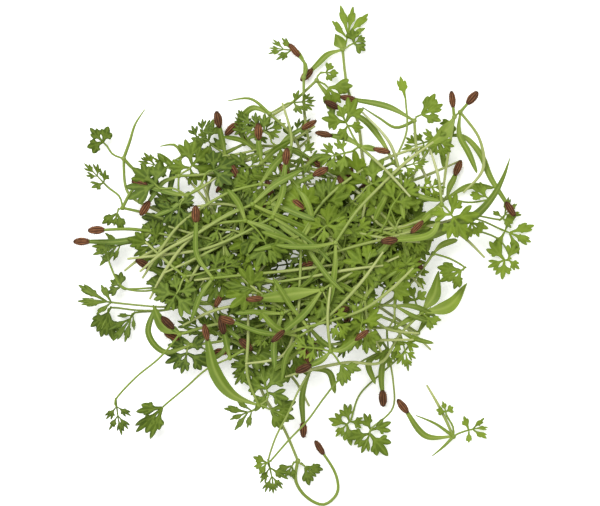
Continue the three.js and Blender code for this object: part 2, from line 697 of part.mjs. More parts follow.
/** The triangles of a leaflet whose outline starts on the rib at this corner. */
const leafletTriangles = (root) => [
  [root, root + 1, root + 2],
  [root, root + 2, root + 4],
  [root + 2, root + 3, root + 4],
  [root, root + 4, root + 6],
  [root + 4, root + 5, root + 6],
];

/** A blade's outline, clockwise from its base, and the triangles that fill it: u runs out along the rib. */
function bladeOutline(form, span) {
  const rib = RIB_WIDTH / 2;
  const corners = [[0, rib]];
  const rows = [0];
  const roots = [];
  const lastU = () => corners[corners.length - 1][0];
  const addRibCorner = (u) => {
    if (u > lastU()) {
      corners.push([u, rib]);
      rows.push(corners.length - 1);
    }
  };
  const addLeaflet = (u, v, degrees, length) => {
    const angle = THREE.MathUtils.degToRad(degrees);
    roots.push(corners.length - 1);
    LEAFLET.forEach(([along, across]) => {
      const out = along * length;
      const side = across * form.slim * length;
      const cornerU = u + out * Math.cos(angle) - side * Math.sin(angle);
      corners.push([cornerU, v + out * Math.sin(angle) + side * Math.cos(angle)]);
    });
  };
  form.pairs.forEach(([at, degrees, share]) => {
    addRibCorner(at * span);
    const start = lastU();
    addLeaflet(start + LEAFLET_ROOT / 2, rib, degrees, share * span);
    corners.push([start + LEAFLET_ROOT, rib]);
    rows.push(corners.length - 1);
  });
  addRibCorner((1 - form.end) * span);
  const sideCount = corners.length;
  addLeaflet(lastU(), 0, 0, span - lastU());
  for (let i = sideCount - 1; i >= 0; i -= 1) {
    corners.push([corners[i][0], -corners[i][1]]);
  }
  const mirror = (i) => corners.length - 1 - i;
  const triangles = roots.flatMap((root) => {
    const own = leafletTriangles(root);
    const atTip = root === sideCount - 1;
    return atTip ? own : [...own, ...own.map(([a, b, c]) => [mirror(c), mirror(b), mirror(a)])];
  });
  for (let i = 0; i + 1 < rows.length; i += 1) {
    const [low, high] = [rows[i], rows[i + 1]];
    triangles.push([low, high, mirror(high)], [low, mirror(high), mirror(low)]);
  }
  return { corners, triangles };
}

/**
 * A blade in plan at the end of its stalk, its base at height 0. It slopes and droops as its draws say, or
 * where it is flat it lies on what its stalk lies on.
 */
function planBlade(stalk, { form, tip, flat }, random) {
  const base = stalk.stations[stalk.stations.length - 1];
  const span = Math.hypot(tip[0] - base.x, tip[1] - base.y);
  const heading = Math.atan2(tip[1] - base.y, tip[0] - base.x);
  const pitch = between(random, PITCH);
  const roll = between(random, ROLL);
  const drop = between(random, DROP);
  const level = (BLADE_THICKNESS - STALK.height) / 2;
  const heightAt = (u, v) => (flat ? level : pitch * u + roll * v - (drop * (u * u + v * v)) / span);
  const outline = bladeOutline(form, span);
  const corners = outline.corners.map(([u, v]) => new THREE.Vector3(
    base.x + u * Math.cos(heading) - v * Math.sin(heading),
    base.y + u * Math.sin(heading) + v * Math.cos(heading),
    heightAt(u, v),
  ));
  return { stalk, corners, triangles: outline.triangles, flat };
}

/** The lowest height of a blade's base that keeps all of the blade clear of what lies below it. */
function baseHeightNeeded(field, blade) {
  let needed = 0;
  blade.triangles.forEach((triangle) => {
    const points = triangle.map((i) => blade.corners[i]);
    field.visitTriangle(points, (index, height, margin) => {
      needed = Math.max(needed, field.floorAt(index) + BLADE_THICKNESS / 2 + margin - height);
    });
  });
  return needed;
}

/** Gives one seedling its heights on top of the heap so far, and raises the heap by it. */
function lay(field, seedling, random) {
  const { crown } = seedling;
  const stem = planStrand(crown, seedling.stem, STEM);
  const seedLeaves = seedling.seedLeaves.map(({ path, husk, form }) => {
    const strand = planStrand(crown, path, form);
    strand.rise = between(random, RISE);
    if (husk !== BARE) {
      addHusk(strand, husk);
    }
    return strand;
  });
  const blades = seedling.leaves.map((entry) => {
    const stalk = planStrand(crown, entry.path, STALK);
    stalk.blade = planBlade(stalk, entry, random);
    return stalk.blade;
  });
  const strands = [stem, ...seedLeaves, ...blades.map((blade) => blade.stalk)];

  strands.forEach((strand) => {
    const stations = allStations(strand);
    const needed = heightsNeeded(field, stations);
    const crownFloor = field.floorUnderLine(stations[0], stations[0], CROWN_WIDTH / 2 + CELL_REACH);
    needed[0] = Math.max(needed[0], crownFloor + CROWN_HEIGHT / 2);
    if (strand.blade) {
      const end = needed.length - 1;
      needed[end] = Math.max(needed[end], baseHeightNeeded(field, strand.blade));
    }
    const heights = drape(needed, stations, strand.form.bend);
    const length = stations[stations.length - 1].along;
    stations.forEach((station, i) => {
      station.z = heights[i] + (strand.rise ?? 0) * (station.along / length) ** 2;
    });
  });

  const crownHeight = Math.max(...strands.map((strand) => strand.stations[0].z));
  strands.forEach((strand) => {
    const lift = crownHeight - strand.stations[0].z;
    const end = strand.stations[strand.stations.length - 1];
    const reach = strand.blade?.flat ? end.along : CROWN_REACH;
    allStations(strand).forEach((station) => {
      const share = Math.min(1, station.along / reach);
      station.z += lift * (1 - share) ** 2 * (1 + 2 * share);
    });
  });

  blades.forEach((blade) => {
    const base = blade.stalk.stations[blade.stalk.stations.length - 1].z;
    blade.corners.forEach((corner) => {
      corner.z += base;
    });
  });
  const laid = { crown: { x: crown[0], y: crown[1], z: crownHeight }, strands, blades };
  raiseHeap(field, laid);
  return laid;
}

/** Raises the heap's top to that of a seedling laid on it. */
function raiseHeap(field, { crown, strands, blades }) {
  field.visitLine(crown, crown, CROWN_WIDTH / 2 + CELL_REACH, (index) => {
    field.raise(index, crown.z + CROWN_HEIGHT / 2);
  });
  strands.forEach((strand) => {
    const stations = allStations(strand);
    for (let i = 0; i + 1 < stations.length; i += 1) {
      const [a, b] = [stations[i], stations[i + 1]];
      const topOf = ({ z, halfHeight }) => z + halfHeight;
      const reach = Math.max(a.halfWidth, b.halfWidth) + CELL_REACH;
      field.visitLine(a, b, reach, (index, share) => {
        field.raise(index, topOf(a) + (topOf(b) - topOf(a)) * share);
      });
    }
  });
  blades.forEach((blade) => {
    blade.triangles.forEach((triangle) => {
      const points = triangle.map((i) => blade.corners[i]);
      field.visitTriangle(points, (index, height, margin) => {
        field.raise(index, height + BLADE_THICKNESS / 2 + margin);
      });
    });
  });
}

/** A closed solid from corner positions and the triangles between them, facing out. */
function solidOf(positions, triangles) {
  const geometry = new THREE.BufferGeometry();
  geometry.setAttribute('position', new THREE.Float32BufferAttribute(positions.flat(), 3));
  geometry.setIndex(triangles.flat());
  return solidOfGeometry(geometry);
}

function solidOfGeometry(source) {
  const geometry = source.clone();
  geometry.deleteAttribute('normal');
  geometry.deleteAttribute('uv');
  const merged = mergeVertices(geometry, SAME_POINT);
  const vertProperties = new Float32Array(merged.attributes.position.array);
  const triVerts = new Uint32Array(merged.index.array);
  return new wasm.Manifold(new wasm.Mesh({ numProp: 3, vertProperties, triVerts }));
}

/** A closed skin of rings of four corners, bridged one to the next, with blades or caps at its ends. */
class Skin {
  constructor() {
    this.positions = [];
    this.triangles = [];
  }

  /** The corners of a strand's section at one station, upright and square to its way in plan. */
  addRing(station, before, after) {
    const length = Math.hypot(after.x - before.x, after.y - before.y);
    const sideX = (-(after.y - before.y) / length) * station.halfWidth;
    const sideY = ((after.x - before.x) / length) * station.halfWidth;
    return SECTION.map(([across, up]) => {
      const z = station.z + up * station.halfHeight;
      return this.positions.push([station.x + sideX * across, station.y + sideY * across, z]) - 1;
    });
  }

  /** A blade with the same triangles above and below, open at its base, where it gives a ring of corners. */
  addBlade({ corners, triangles }, outward) {
    const half = BLADE_THICKNESS / 2;
    const top = corners.map(({ x, y, z }) => this.positions.push([x, y, z + half]) - 1);
    const bottom = corners.map(({ x, y, z }) => this.positions.push([x, y, z - half]) - 1);
    triangles.forEach(([a, b, c]) => {
      this.triangles.push([top[c], top[b], top[a]], [bottom[a], bottom[b], bottom[c]]);
    });
    const last = corners.length - 1;
    for (let i = 0; i < last; i += 1) {
      this.triangles.push([top[i], top[i + 1], bottom[i + 1]], [top[i], bottom[i + 1], bottom[i]]);
    }
    const [right, left] = outward ? [last, 0] : [0, last];
    return [top[right], bottom[right], bottom[left], top[left]];
  }

  bridge(from, to) {
    from.forEach((corner, k) => {
      const next = (k + 1) % from.length;
      this.triangles.push([corner, from[next], to[next]], [corner, to[next], to[k]]);
    });
  }

  cap([a, b, c, d]) {
    this.triangles.push([a, b, c], [a, c, d]);
  }
}

/** One solid that runs in along the first strand to the crown, if there is one, and out along the second. */
function runSolid(inward, outward) {
  const skin = new Skin();
  const comingIn = inward ? [...inward.stations].reverse() : [];
  const stations = [...comingIn.slice(0, -1), ...outward.stations];
  const last = stations.length - 1;
  const rings = stations.map((station, i) => {
    if (i === 0 && inward?.blade) {
      return skin.addBlade(inward.blade, false);
    }
    if (i === last && outward.blade) {
      return skin.addBlade(outward.blade, true);
    }
    return skin.addRing(station, stations[Math.max(0, i - 1)], stations[Math.min(last, i + 1)]);
  });
  for (let i = 0; i < last; i += 1) {
    skin.bridge(rings[i], rings[i + 1]);
  }
  if (!inward?.blade) {
    skin.cap([...rings[0]].reverse());
  }
  if (!outward.blade) {
    skin.cap(rings[last]);
  }
  return solidOf(skin.positions, skin.triangles);
}

/** Pairs the strands that leave the crown most nearly opposite each other, and leaves the rest alone. */
function pairStrands(strands) {
  const ways = strands.map(({ stations }) => {
    return new THREE.Vector2(stations[1].x - stations[0].x, stations[1].y - stations[0].y).normalize();
  });
  const pairs = strands.flatMap((_, i) => strands.slice(i + 1).map((__, j) => [i, i + 1 + j]));
  pairs.sort((p, q) => ways[p[0]].dot(ways[p[1]]) - ways[q[0]].dot(ways[q[1]]));
  const free = new Set(strands.keys());
  const runs = [];
  pairs.forEach(([i, j]) => {
    if (free.has(i) && free.has(j) && ways[i].dot(ways[j]) < MOST_ALIKE) {
      runs.push([strands[i], strands[j]]);
      free.delete(i);
      free.delete(j);
    }
  });
  return [...runs, ...[...free].map((i) => [null, strands[i]])];
}

/** Carries a seed leaf's stations on over the husk that is modelled in one piece with it. */
function shapeJoinedHusk({ stations, huskEnds }) {
  const tip = stations[stations.length - 1];
  const end = huskEnds[1];
  HUSK_OUTLINE.forEach(([share, size]) => {
    stations.push({
      x: tip.x + (end.x - tip.x) * share,
      y: tip.y + (end.y - tip.y) * share,
      z: tip.z + (end.z - tip.z) * share,
      halfWidth: end.halfWidth * size,
      halfHeight: end.halfHeight * size,
    });
  });
}

/** A long seed husk with few sides between its two ends. */
function huskSolid([start, end]) {
  const axis = new THREE.Vector3(end.x - start.x, end.y - start.y, end.z - start.z);
  const halfLength = axis.length() / 2;
  axis.normalize();
  const across = new THREE.Vector3(-axis.y, axis.x, 0).normalize();
  const up = new THREE.Vector3().crossVectors(across, axis);
  const geometry = new THREE.SphereGeometry(1, HUSK_SIDES, HUSK_ROWS);
  geometry.scale(HUSK_WIDTH / 2, halfLength, HUSK_THICKNESS / 2);
  geometry.applyMatrix4(new THREE.Matrix4().makeBasis(across, axis, up));
  geometry.translate((start.x + end.x) / 2, (start.y + end.y) / 2, (start.z + end.z) / 2);
  return solidOfGeometry(geometry);
}

const joined = (solids) => solids.reduce((whole, solid) => whole.add(solid));

function meshOf(solid, name, material) {
  const { vertProperties, triVerts } = solid.getMesh();
  const geometry = new THREE.BufferGeometry();
  geometry.setAttribute('position', new THREE.Float32BufferAttribute(vertProperties, 3));
  geometry.setIndex(Array.from(triVerts));
  geometry.computeVertexNormals();
  const mesh = new THREE.Mesh(geometry, material.clone());
  mesh.name = name;
  return mesh;
}

const leafMaterial = new THREE.MeshStandardMaterial({ color: 0x6f8a34, roughness: 0.6, metalness: 0 });
const huskMaterial = new THREE.MeshStandardMaterial({ color: 0x6b4230, roughness: 0.8, metalness: 0 });

/** The seedling's meshes: the green plant in one piece, and each husk that is a piece of its own. */
function seedlingMeshes(laid, number) {
  const label = String(number).padStart(2, '0');
  const ownHusks = laid.strands.filter(({ husk }) => husk === OWN_HUSK);
  const husks = ownHusks.map(({ huskEnds }) => huskSolid(huskEnds));
  laid.strands.filter(({ husk }) => husk === JOINED_HUSK).forEach(shapeJoinedHusk);
  const runs = pairStrands(laid.strands).map(([inward, outward]) => runSolid(inward, outward));
  return [
    meshOf(joined(runs), `seedling_${label}`, leafMaterial),
    ...husks.map((solid) => meshOf(solid, `husk_${label}`, huskMaterial)),
  ];
}

const heap = new THREE.Group();
heap.position.set(-PLAN_CENTRE[0], -PLAN_CENTRE[1], 0);
const field = new HeightField();
SEEDLINGS.forEach((seedling, i) => {
  const laid = lay(field, seedling, makeRandom(SEED + i));
  heap.add(...seedlingMeshes(laid, i + 1));
});

export default heap;
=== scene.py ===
"""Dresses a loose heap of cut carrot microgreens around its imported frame.

Each seedling of the frame is laid down again from the same places in plan, which gives its strands and blades
the heights that its solid has, and gets its real form there: round stems, grooved seed leaves, lobed true
leaves with veins, and ribbed seed husks. Further seedlings, placed by a rule, fill the inside of the heap.
Lengths are in millimetres up to the last step, which makes a mesh in metres.
"""

import logging
import math
from dataclasses import dataclass, field, replace
from enum import Enum
from typing import Callable

import bpy
import numpy as np
from bpy.types import Material, Mesh, Node, NodeSocket, NodeTree, Object
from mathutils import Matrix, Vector
from mathutils.geometry import delaunay_2d_cdt


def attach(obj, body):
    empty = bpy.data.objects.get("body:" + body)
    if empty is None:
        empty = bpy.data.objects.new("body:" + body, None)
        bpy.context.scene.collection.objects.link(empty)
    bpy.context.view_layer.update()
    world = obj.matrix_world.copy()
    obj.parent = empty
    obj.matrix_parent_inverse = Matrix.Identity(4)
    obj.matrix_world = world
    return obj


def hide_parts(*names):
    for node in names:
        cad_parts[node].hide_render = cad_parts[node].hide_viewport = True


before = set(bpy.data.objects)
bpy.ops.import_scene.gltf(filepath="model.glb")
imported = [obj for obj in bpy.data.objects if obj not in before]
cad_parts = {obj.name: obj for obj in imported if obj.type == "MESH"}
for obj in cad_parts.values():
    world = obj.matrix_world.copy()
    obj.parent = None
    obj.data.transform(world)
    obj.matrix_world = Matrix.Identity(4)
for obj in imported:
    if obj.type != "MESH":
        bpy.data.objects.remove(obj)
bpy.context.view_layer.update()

log = logging.getLogger("microgreens")
Array = np.ndarray

MM = 0.001

# The place in plan that is the frame's origin, the space between seedlings, and sizes of the solids
PLAN_CENTRE = np.array([0.2, -0.7])
CLEARANCE = 0.25
BLADE_THICKNESS = 0.6
CROWN_WIDTH = 1.3
CROWN_HEIGHT = 0.9
HUSK_LENGTH = 3.4
HUSK_WIDTH = 1.6
HUSK_THICKNESS = 1.24
HUSK_GAP = 0.25

# The height field: its half width, its cells' width, and how far from its middle a cell is still covered
HALF_SPAN = 54
CELL = 0.25
CELL_REACH = 0.18

# How strands are divided and smoothed, and how far a raised crown lifts them
FEWEST_STEPS = 2
ARC_DIVISIONS = 200
SMOOTHING_PASSES = 8
CROWN_REACH = 14
EVENED_DIVISIONS = 12
FEWEST_RINGS = 4

# The even draws, and the first seeds for the layout and for the real forms
DRAW_FACTOR = 1664525
DRAW_STEP = 1013904223
DRAW_RANGE = 2 ** 32
SEED = 20
FORM_SEED = 500

# A blade's slopes along and across its rib, its droop, and how far a seed leaf's tip rises
PITCH = (-0.1, 0.22)
ROLL = (-0.22, 0.22)
DROP = (0.02, 0.26)
RISE = (0, 2.5)

# The meshes' named values, the numbers of a seedling's materials, and a line's own values
ALONG, TONE, VEIN = "along", "tone", "vein"
VALUE_NAMES = (ALONG, TONE, VEIN)
STEM_FINISH, SEED_LEAF_FINISH, TRUE_LEAF_FINISH = range(3)
RADIUS, OWNER = "radius", "owner"

# How far along its way a stem is at the crown, and how a green's tone goes by place and by chance
CROWN_ALONG = 0.85
MIDDLE_TONE = 0.5
TONE_SPAN = 50
TONE_CHANCE = 0.45

# The angle from which an edge is shaded sharp, and what lengths are at least taken to be
SHARP_FROM = math.radians(75)
SMALLEST = 1e-9
SMALLEST_SQUARE = 1e-12

# Filling: the distance that merges corners, and in grid steps that of rows and that of the grid from a vein
MERGE_WITHIN = 1e-4
ROW_STEP = 0.866
VEIN_ROOM = 0.6

# The shares of a half turn whose sines are a seed leaf's width at its two ends
LANCE_START = 0.12
LANCE_END = 0.91


class Husk(Enum):
    """What a seed leaf holds on its tip: nothing, a husk that is a node of its own, or one fused to it."""

    BARE = "bare"
    OWN = "own"
    JOINED = "joined"


BARE, OWN, JOINED = Husk


def even(_share: Array) -> float:
    """The same width all the way along."""
    return 1.0


def lance(share: Array) -> Array:
    """Narrow at both ends and widest past the middle."""
    return np.sin(math.pi * (LANCE_START + (LANCE_END - LANCE_START) * share))


@dataclass(frozen=True)
class StrandForm:
    """The solid's section, steps and stiffness for one kind of strand."""

    width: float
    height: float
    step: float
    bend: float
    taper: Callable


STEM = StrandForm(width=1.0, height=0.9, step=6.6, bend=32, taper=even)
STALK = StrandForm(width=0.76, height=0.7, step=5.4, bend=17, taper=even)
PLAIN = StrandForm(width=1.9, height=BLADE_THICKNESS, step=5, bend=14, taper=lance)
BROAD = replace(PLAIN, width=2.7)
SLIM = replace(PLAIN, width=1.5)
THIN = replace(STALK, width=1.0, step=4)


@dataclass(frozen=True)
class LeafForm:
    """A cut leaf, with its lengths as shares of its own.

    A pair of leaflets is [place on the rib, degrees, length]. Slim is half a leaflet's width over its length,
    and lobe is a lobe's width over a leaflet's.
    """

    pairs: list
    end: float
    slim: float
    lobe: float


FERN = LeafForm([[0.14, 68, 0.46], [0.42, 52, 0.4]], 0.42, 0.34, 0.34)
FAN = LeafForm([[0, 124, 0.64], [0.14, 62, 0.88]], 0.78, 0.36, 0.36)
NARROW = LeafForm([[0.16, 44, 0.5], [0.42, 36, 0.44]], 0.42, 0.22, 0.4)
TREFOIL = LeafForm([[0.16, 66, 0.68]], 0.74, 0.38, 0.48)
WEDGE = LeafForm([[0.12, 40, 0.78]], 0.84, 0.25, 0.6)
FINGERS = LeafForm([[0.05, 96, 0.62], [0.22, 46, 0.72]], 0.74, 0.17, 0.6)
SPRAY = LeafForm([[0.04, 52, 0.5], [0.16, 26, 0.72]], 0.84, 0.12, 0.75)
SINGLE = LeafForm([], 0.9, 0.2, 0.6)
LEAFLET = [[0.76, 1], [0.66, 0.42], [1, 0], [0.66, -0.42], [0.76, -1]]
RIB_WIDTH = 0.7
LEAFLET_ROOT = 0.8


@dataclass(frozen=True)
class SeedLeaf:
    """One seed leaf: its way in plan from the crown, its husk and its form."""

    path: list
    husk: Husk = BARE
    form: StrandForm = PLAIN


@dataclass(frozen=True)
class Leaf:
    """One true leaf: its form, its stalk's way in plan from the crown and the place of its tip."""

    form: LeafForm
    path: list
    tip: list
    flat: bool = False


@dataclass(frozen=True)
class Seedling:
    """One seedling in plan: its crown, its stem's way to the cut foot, its seed leaves and true leaves."""

    crown: list
    stem: list
    seed_leaves: list
    leaves: list


# The seedlings from the lowest to the highest, at the places that their solids have in plan
SEEDLINGS = [
    # Lies lowest, its first leaf flat on the surface
    Seedling([-7.5, -9], [[-9.5, -3.5], [-14.5, 2.5], [-18, 7]], [SeedLeaf([[-5, -11.5], [-1, -12.5]])],
        [Leaf(FERN, [[-5.5, -7], [-3, -5]], [4, -2], flat=True),
        Leaf(FAN, [[-9.5, -11], [-12, -13]], [-16.5, -17.5])]),
    # Lies low on the right
    Seedling([13.5, 4.5], [[18, 9], [21.5, 14], [23, 17.5]], [SeedLeaf([[10.5, 1.5], [8.5, -2.5]])],
        [Leaf(FERN, [[11, 6.5], [9, 8]], [2, 11.5]), Leaf(FAN, [[16.5, 3], [19, 0.5]], [23.5, -3.5])]),
    # Lies low on the left
    Seedling([-19, 2.5], [[-14.5, -2], [-7.5, -4.5], [0, -3.5]], [SeedLeaf([[-21, 5], [-23.5, 9]])],
        [Leaf(FERN, [[-21, -0.5], [-22.5, -3.5]], [-27, -9]),
        Leaf(FAN, [[-21.5, 4], [-24.5, 6]], [-28.5, 10])]),
    # Top sprig
    Seedling([8, 39], [[7.5, 36], [9.5, 30], [11.5, 21.5], [12.5, 15.5], [14, 10.5]],
        [SeedLeaf([[6, 38], [4, 37.5], [2.5, 35.5]], OWN),
        SeedLeaf([[7.5, 40.5], [6.5, 42]], form=BROAD)], [Leaf(SPRAY, [[8.7, 40.6]], [10.4, 47.8]),
        Leaf(TREFOIL, [[9.3, 39.8]], [12.6, 41.4])]),
    # Below the top sprig
    Seedling([3, 33], [[0, 30.5], [-3, 28], [-7.5, 25], [-11, 21]],
        [SeedLeaf([[5, 30.5], [6, 27.5], [5.5, 23.5]])], [Leaf(TREFOIL, [[3, 34], [4, 34.5]], [7, 34.5]),
        Leaf(WEDGE, [[4.6, 32.2]], [8, 28.8])]),
    # Small sprig above the heap
    Seedling([0.5, 33.5], [[0.5, 30], [1, 24], [2, 19]],
        [SeedLeaf([[1, 35.2], [0.8, 36.8], [-0.2, 37.3]], JOINED, THIN)],
        [Leaf(NARROW, [[0.6, 35.5], [0.3, 37.8], [-0.6, 38.6]], [-6.4, 39.3])]),
    # Upper left loop
    Seedling([-6, 26.5], [[-2, 23.5], [0, 19], [0.5, 14]],
        [SeedLeaf([[-7.5, 28], [-9.5, 27.5], [-11.5, 26.5], [-12, 25]], OWN),
        SeedLeaf([[-7.5, 28.5], [-10, 29.5], [-12, 30], [-14, 29]], form=THIN)],
        [Leaf(FERN, [[-4, 28], [-2.5, 28.5]], [3, 29])]),
    # Upper left, upright husk
    Seedling([-14.5, 18.5], [[-16.5, 15.5], [-18, 10.5], [-17, 4], [-12.5, 0]],
        [SeedLeaf([[-15, 21], [-15.5, 23.5]], OWN),
        SeedLeaf([[-12.5, 17.5], [-9.5, 15.5], [-8, 12.5]])],
        [Leaf(FAN, [[-16, 20], [-17, 20.5]], [-19.5, 23.5])]),
    # Far left, upper frond
    Seedling([-34, 18], [[-33.5, 14], [-32.5, 10.5], [-28.5, 8.5], [-21.5, 5.5]],
        [SeedLeaf([[-32.6, 22], [-31.5, 25.5], [-30, 27.5]], form=THIN),
        SeedLeaf([[-32, 15.9], [-29, 15.6], [-25, 16.4]], form=THIN)],
        [Leaf(TREFOIL, [[-35.8, 18.4], [-37.2, 20.4]], [-40.4, 23.6])]),
    # Far left, lower frond
    Seedling([-34, 8.5], [[-30.5, 7.5], [-26.5, 6.5], [-16.5, 2], [-11.5, -0.5]],
        [SeedLeaf([[-32.4, 11.6], [-29, 14.4], [-25.5, 16]], form=THIN)],
        [Leaf(FERN, [[-34.8, 10.8], [-36.8, 12.4]], [-41.2, 17]),
        Leaf(WEDGE, [[-34.8, 8.2]], [-35.8, 4.8])]),
    # Far left, two husks
    Seedling([-28.5, 4], [[-24, 3], [-16.5, 0.5], [-9.5, -2]],
        [SeedLeaf([[-31.5, 4.6], [-34.5, 4.2], [-37.2, 4.3]], JOINED, THIN),
        SeedLeaf([[-31, 3], [-35.5, 1.9], [-40, 2.1]], OWN)],
        [Leaf(SPRAY, [[-31, 2.4], [-34, 1.6]], [-40, -0.4]), Leaf(FAN, [[-27.4, 2.2]], [-31.6, -0.8])]),
    # Left, small leaf
    Seedling([-25.5, -6.5], [[-19, -6], [-11, -7]], [SeedLeaf([[-26, -4.5], [-28.5, -3]], JOINED)],
        [Leaf(NARROW, [[-29.5, -7.2], [-33.5, -7.2], [-35.2, -5.4], [-36.2, -2.6]], [-37.4, 1.6]),
        Leaf(TREFOIL, [[-29.5, -6.8], [-33.8, -7]], [-36.8, -5.4])]),
    # Left frond
    Seedling([-21, -10], [[-14.5, -9], [-7, -7]], [SeedLeaf([[-22, -8.5], [-24, -8]], JOINED),
        SeedLeaf([[-19, -13], [-16, -16]])],
        [Leaf(SPRAY, [[-26, -10.4], [-31, -10.2], [-35.6, -9.6]], [-43, -8.6]),
        Leaf(WEDGE, [[-26, -10.8], [-31.5, -10.9], [-36.5, -10.6]], [-39, -16.2]),
        Leaf(SPRAY, [[-26, -11.2], [-32, -11.6]], [-35.4, -16.6])]),
    # Lower left loop
    Seedling([-20.8, -17.6], [[-14.5, -17], [-8, -14.5], [-1.5, -14]],
        [SeedLeaf([[-24, -18.9], [-27.2, -18.6], [-29, -16.4], [-28.4, -13.6], [-27.5, -10]]),
        SeedLeaf([[-21.6, -17.2], [-23, -16.6]], JOINED)], [Leaf(FAN, [[-21.6, -18]], [-22.2, -23.4]),
        Leaf(FERN, [[-19, -18]], [-16.4, -19.6])]),
    # Lower left, long stalk
    Seedling([-23, -15.5], [[-16.5, -14], [-9.5, -13]], [SeedLeaf([[-24, -14.5]], JOINED),
        SeedLeaf([[-24.8, -14.4], [-27, -12.8], [-28, -9.8]], form=BROAD)],
        [Leaf(NARROW, [[-27, -19.8], [-31.5, -24], [-35.2, -27.9]], [-34.4, -34.6])]),
    # Bottom left fan
    Seedling([-13.5, -20], [[-9.5, -17.5], [-3, -14.5]],
        [SeedLeaf([[-14, -17.5], [-14.5, -15.5]], JOINED)],
        [Leaf(WEDGE, [[-16.5, -21.4], [-21, -25.2], [-25.6, -28.8]], [-31, -33.8])]),
    # Bottom loop
    Seedling([-0.6, -40], [[-3.6, -33], [-7.2, -28], [-9.5, -21]],
        [SeedLeaf([[-1, -44], [0.5, -46.5], [3.5, -48.5], [6.5, -47.5], [7, -44.5], [6.2, -41.4],
        [4.6, -39.2]], OWN, THIN)],
        [Leaf(WEDGE, [[-1.4, -40.4]], [-2.8, -43]), Leaf(WEDGE, [[0.2, -40.6]], [3.2, -43.4])]),
    # Bottom left strap
    Seedling([-8, -29], [[-10, -24.5], [-10, -20.5], [-10, -10]],
        [SeedLeaf([[-11, -28], [-14, -26], [-16, -23.5], [-16.5, -19.5], [-17.5, -17]], OWN, BROAD)],
        [Leaf(SPRAY, [[-8.8, -29.8]], [-14, -31.7]), Leaf(FAN, [[-6.8, -28.6], [-6.2, -27]], [-8.2, -21.4]),
        Leaf(WEDGE, [[-6.6, -29.4]], [-1.4, -31.8])]),
    # Bottom, forked
    Seedling([1.8, -22.2], [[1.8, -18], [1.5, -12.5]],
        [SeedLeaf([[0.6, -25], [0.2, -28.5], [0.4, -32]], OWN),
        SeedLeaf([[4.2, -21.4], [5.8, -23.8], [6.5, -27]])],
        [Leaf(NARROW, [[-0.6, -27], [-3.4, -32.4], [-6.2, -39.4]], [-4.8, -45.8])]),
    # Bottom right, long stalk
    Seedling([22.5, -15.5], [[19, -13], [13, -9.5], [8.5, -6.5]], [SeedLeaf([[24, -13], [25, -10.5]])],
        [Leaf(FAN, [[18.2, -21.2], [13.1, -25.2], [10.4, -28.8], [9.6, -32.2]], [6.4, -35.6])]),
    # Bottom, dark husk
    Seedling([16.5, -18.5], [[14, -14.5], [11, -9], [9.5, -3.5]],
        [SeedLeaf([[15.6, -21], [15.3, -23.5], [15.6, -26]], OWN),
        SeedLeaf([[13.4, -20], [13, -22.6], [14.2, -25.2]])],
        [Leaf(FAN, [[17.6, -23], [17.6, -28.5], [16.8, -32.6], [13.6, -33.7]], [11.6, -39]),
        Leaf(WEDGE, [[13, -19.8], [5.2, -26], [0.9, -32.4], [-5.8, -39.4]], [-8.8, -40.6])]),
    # Loose sprig at the lower right
    Seedling([29.3, -35.4], [[28.4, -33.4], [27.2, -30.8], [24.2, -25.5]],
        [SeedLeaf([[26.5, -36], [23.5, -35], [21.5, -33.4], [20.6, -30.9]], OWN),
        SeedLeaf([[27.4, -33.6], [24.8, -32.5], [22, -31.2]], form=THIN),
        SeedLeaf([[27.5, -37.2], [25.1, -39]], form=THIN)],
        [Leaf(FINGERS, [[30.4, -34.8], [31.6, -34.3]], [36.4, -33.2]),
        Leaf(TREFOIL, [[28.9, -33.2], [28, -31.4]], [27.4, -28.8])]),
    # Right, two broad seed leaves
    Seedling([23, -11.5], [[19, -15.5], [15, -20.5], [7.5, -21], [-3, -23.5]],
        [SeedLeaf([[24.8, -9], [26, -6.2], [26.4, -3.4]], form=BROAD),
        SeedLeaf([[25.4, -11.6], [28.6, -9.8], [32, -5.8]], form=BROAD)],
        [Leaf(TREFOIL, [[22, -10]], [21, -6.5]), Leaf(WEDGE, [[23.6, -12]], [25.8, -14])]),
    # Right, pale fan
    Seedling([25.2, -0.2], [[22.8, -4], [18, -8.2], [13, -11.5], [8.5, -16.5]],
        [SeedLeaf([[27, 1.6], [30, 2.4]])], [Leaf(WEDGE, [[27.4, -0.9], [31.2, -2.9]], [27, -5.6])]),
    # Right frond
    Seedling([26.5, 5.5], [[30, 3.5], [35, -1]], [SeedLeaf([[24.5, 3], [24, 0]])],
        [Leaf(FINGERS, [[30, 7], [34, 7.2], [38.2, 6.3]], [41.2, 9.4]),
        Leaf(FINGERS, [[30.2, 6.2], [35, 6], [38.6, 4.4]], [44, 2.2]),
        Leaf(FAN, [[31, 4.6], [37, 3.2], [41, 1.2], [40.2, -1.2]], [35.6, -2.4]),
        Leaf(WEDGE, [[29, 5.8], [32, 6.4]], [34, 2.6])]),
    # Right, upright husk
    Seedling([28, 10.5], [[24.5, 7], [20.5, 2.5], [18, -2]],
        [SeedLeaf([[28.6, 12.4], [29.4, 14.4]], OWN),
        SeedLeaf([[30.6, 11.6], [33.6, 13.2], [37.2, 12.4]])],
        [Leaf(FERN, [[26.5, 10], [25, 10]], [20, 12]), Leaf(WEDGE, [[31.5, 9.6], [36, 10.2]], [32.8, 13])]),
    # Upper right arc
    Seedling([26, 22], [[23.5, 18.5], [20, 12.5], [16, 7], [11, 2]],
        [SeedLeaf([[30, 22.5], [33, 21], [35, 17.5], [36.5, 14], [39, 10]], OWN),
        SeedLeaf([[27, 19.5], [27.5, 16]])], [Leaf(FERN, [[24.6, 21.4]], [19.6, 19.8])]),
    # Upper right, outer husk
    Seedling([30.4, 26.8], [[32.9, 23.4], [34.9, 20.6], [35.2, 17.6], [34, 14.2], [31, 11.4]],
